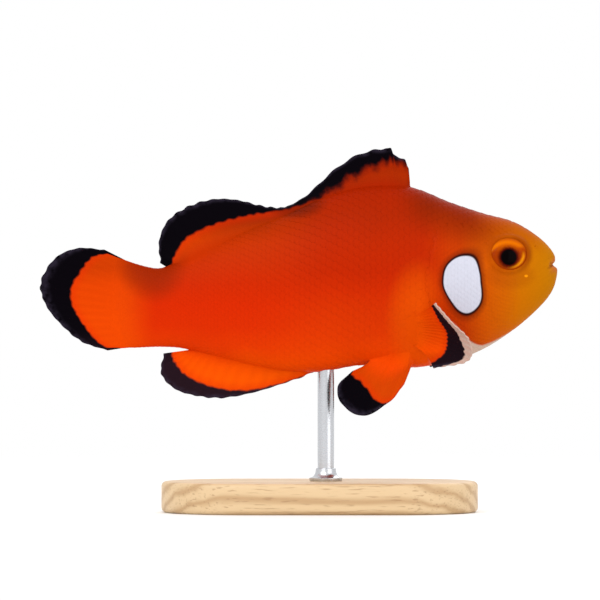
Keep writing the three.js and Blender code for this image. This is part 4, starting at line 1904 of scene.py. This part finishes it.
@dataclass(frozen=True)
class Stand:
    """A flat ash base with round ends, a steel rod up to the belly, and a collar at the rod's foot."""

    bevel: float = 0.7
    steps: int = 96
    sink: float = 1.2

    def base(self) -> bpy.types.Object:
        """Builds the base from a disc whose halves are drawn apart."""
        low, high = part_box("stand_base")
        middle = (low + high) / 2
        radius = (high.y - low.y) / 2
        bpy.ops.mesh.primitive_cylinder_add(
            vertices=self.steps, radius=radius, depth=high.z - low.z, location=middle
        )
        base = bpy.context.object
        apply_place(base)
        points = points_of(base)
        apart = (high.x - low.x) / 2 - radius
        points[:, 0] += np.where(points[:, 0] > middle.x + 1e-6, apart, -apart)
        set_points(base, points)
        corner = {"limit_method": "ANGLE", "angle_limit": math.radians(60)}
        finish_with(base, "BEVEL", width=self.bevel * MM, segments=5, **corner)
        face_outwards(base)
        return base

    def _turned(self, x: float, profile: Sequence[tuple[float, float]]) -> bpy.types.Object:
        """Turns a closed solid about an upright axis on the middle plane.

        Args:
            x: Where the axis stands.
            profile: Pairs of a radius and a height, from the bottom up, in metres.

        Returns:
            The solid.
        """
        radius, height = profile[0]
        bpy.ops.mesh.primitive_circle_add(
            vertices=self.steps // 2, radius=radius, fill_type="NGON", location=(x, 0, height)
        )
        turned = bpy.context.object
        apply_place(turned)
        with editing(turned):
            bpy.ops.mesh.select_all(action="SELECT")
            for new_radius, new_height in profile[1:]:
                rise = (0, 0, new_height - height)
                bpy.ops.mesh.extrude_region_move(TRANSFORM_OT_translate={"value": rise})
                ratio = new_radius / radius
                bpy.ops.transform.resize(value=(ratio, ratio, 1), center_override=(x, 0, new_height))
                radius, height = new_radius, new_height
        face_outwards(turned)
        return turned

    def rod(self) -> bpy.types.Object:
        """Builds the rod from inside the collar to inside the belly."""
        low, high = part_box("stand_rod")
        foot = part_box("stand_base")[1].z
        radius = (high.x - low.x) / 2
        x = (high.x + low.x) / 2
        profile = [(radius, foot), (radius, high.z + self.sink * MM)]
        return self._turned(x, profile)

    def collar(self) -> bpy.types.Object:
        """Builds the collar: a foot, a hollow sweep and a rounded lip round the rod."""
        low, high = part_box("stand_collar")
        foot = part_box("stand_base")[1].z
        x = (high.x + low.x) / 2
        wide = (high.x - low.x) / 2
        narrow = wide * 0.62
        tall = high.z - foot
        profile = [(wide * 0.97, foot), (wide, foot + tall * 0.08), (wide, foot + tall * 0.26)]
        for index in range(1, 9):
            turn = math.pi / 2 * index / 8
            radius = narrow + (wide * 0.94 - narrow) * (1 - math.sin(turn))
            profile.append((radius, foot + tall * (0.3 + 0.58 * (1 - math.cos(turn)))))
        profile += [(narrow * 0.98, foot + tall * 0.97), (narrow * 0.9, high.z)]
        return self._turned(x, profile)

    def dress(self) -> None:
        """Builds and dresses the stand."""
        wood, steel = WoodFinish().material(), SteelFinish().material()
        pieces = (
            (self.base(), "stand_base_oiled", wood, "stand_wood", "stand_base"),
            (self.rod(), "stand_rod_brushed", steel, "stand_steel", "stand_rod"),
            (self.collar(), "stand_collar_turned", steel, "stand_steel", "stand_collar"),
        )
        for piece, name, material, slot, node in pieces:
            select_only(piece)
            bpy.ops.object.shade_smooth_by_angle(angle=math.radians(35))
            present(piece, name, material, [node])


# --- The studio ---


@dataclass(frozen=True)
class Lamp:
    """One soft square light aimed at the fish."""

    name: str
    azimuth: float
    elevation: float
    power: float
    size: float = 0.5
    distance: float = 0.7


@dataclass(frozen=True)
class Studio:
    """A white room, a pale floor that fades into it, soft lights and a long lens."""

    anchor: Anchor
    view_width: float = 87.21
    view_x: float = 0.145
    view_z: float = -2.18
    distance: float = 0.8
    sensor: float = 36.0
    floor_radius: float = 0.6
    lamps: tuple[Lamp, ...] = field(
        default=(
            Lamp("key", azimuth=-30, elevation=35, power=2.4),
            Lamp("fill", azimuth=45, elevation=15, power=1.2),
            Lamp("back", azimuth=160, elevation=45, power=1.6),
        )
    )

    def camera(self) -> None:
        """Sets the camera level with the fish, far to its right side."""
        origin = self.anchor.origin
        place = (origin.x + self.view_x * MM, -self.distance, origin.z + self.view_z * MM)
        bpy.ops.object.camera_add(location=place, rotation=(math.pi / 2, 0, 0))
        camera = bpy.context.object
        camera.data.sensor_width = self.sensor
        camera.data.lens = self.sensor * self.distance / (self.view_width * MM)
        camera.data.clip_start = 0.01
        camera.data.clip_end = 20
        bpy.context.scene.camera = camera

    def light(self) -> None:
        """Sets the soft lights."""
        target = self.anchor.origin
        for lamp in self.lamps:
            turn, rise = math.radians(lamp.azimuth), math.radians(lamp.elevation)
            level = math.cos(rise)
            away = Vector((math.sin(turn) * level, -math.cos(turn) * level, math.sin(rise)))
            rotation = away.to_track_quat("Z", "Y").to_euler()
            bpy.ops.object.light_add(type="AREA", location=target + away * lamp.distance, rotation=rotation)
            light = bpy.context.object
            light.name = lamp.name
            light.data.energy = lamp.power
            light.data.size = lamp.size

    def room(self) -> None:
        """Fills the room with white light and shows colours as they are."""
        world = bpy.data.worlds.new("room")
        world.use_nodes = True
        background = world.node_tree.nodes["Background"]
        background.inputs["Color"].default_value = (1, 1, 1, 1)
        background.inputs["Strength"].default_value = 1.0
        bpy.context.scene.world = world
        bpy.context.scene.view_settings.view_transform = "Standard"

    def floor(self) -> None:
        """Lays a pale floor whose far parts fade into the room."""
        bpy.ops.mesh.primitive_circle_add(vertices=96, radius=self.floor_radius, fill_type="NGON")
        floor = bpy.context.object
        floor.name = "floor"
        shader = Shader("pale_floor")
        x, y, _ = shader.parts(shader.place((1, 1, 1)))
        out = distance(x, y)
        speckle = shader.noise(shader.place((1 / MM,) * 3), 0.4, 2.0)
        plain = shader.node(
            "ShaderNodeBsdfPrincipled",
            None,
            {
                "Base Color": shader.mix(speckle * 0.04, (0.86, 0.86, 0.86, 1), (0.8, 0.8, 0.8, 1)),
                "Roughness": 0.7,
                "Specular IOR Level": 0.2,
            },
        )
        clear = shader.node("ShaderNodeBsdfTransparent")
        fade = out.step(0.05, self.floor_radius * 0.5)
        surface = shader.node(
            "ShaderNodeMixShader", None, {0: fade, 1: plain.outputs[0], 2: clear.outputs[0]}
        )
        shader.node("ShaderNodeOutputMaterial", None, {"Surface": surface.outputs[0]})
        floor.data.materials.append(shader.material)


FISH_NODES = (
    "head", "lower_jaw", "gill_cover_right", "gill_cover_left", "trunk", "tail_stalk",
    "dorsal_fin_spiny", "dorsal_fin_soft", "anal_fin", "caudal_fin",
    "pelvic_fin_right", "pelvic_fin_left", "pectoral_fin_right", "pectoral_fin_left",
)


def main() -> None:
    """Builds the studio and the fish on its stand."""
    logging.basicConfig(level=logging.INFO, format="%(name)s: %(message)s")
    select_only(*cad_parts.values())
    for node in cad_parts.values():
        node.select_set(False)
    anchor = Anchor()
    studio = Studio(anchor)
    studio.camera()
    studio.light()
    studio.room()
    studio.floor()

    form = BodyForm()
    eye = EyeForm()
    face = Face(eye)
    markings = Markings(face)
    skin, ground = Skin(form, face, FinSet(form).all()).build()
    anchor.settle(skin)
    present(skin, "skin", SkinFinish(markings).material(anchor), FISH_NODES)
    ScaleCoat(form, face).dress(anchor, ground, markings)
    Eyes(eye).dress(anchor)
    Stand().dress()


if __name__ == "__main__":
    main()
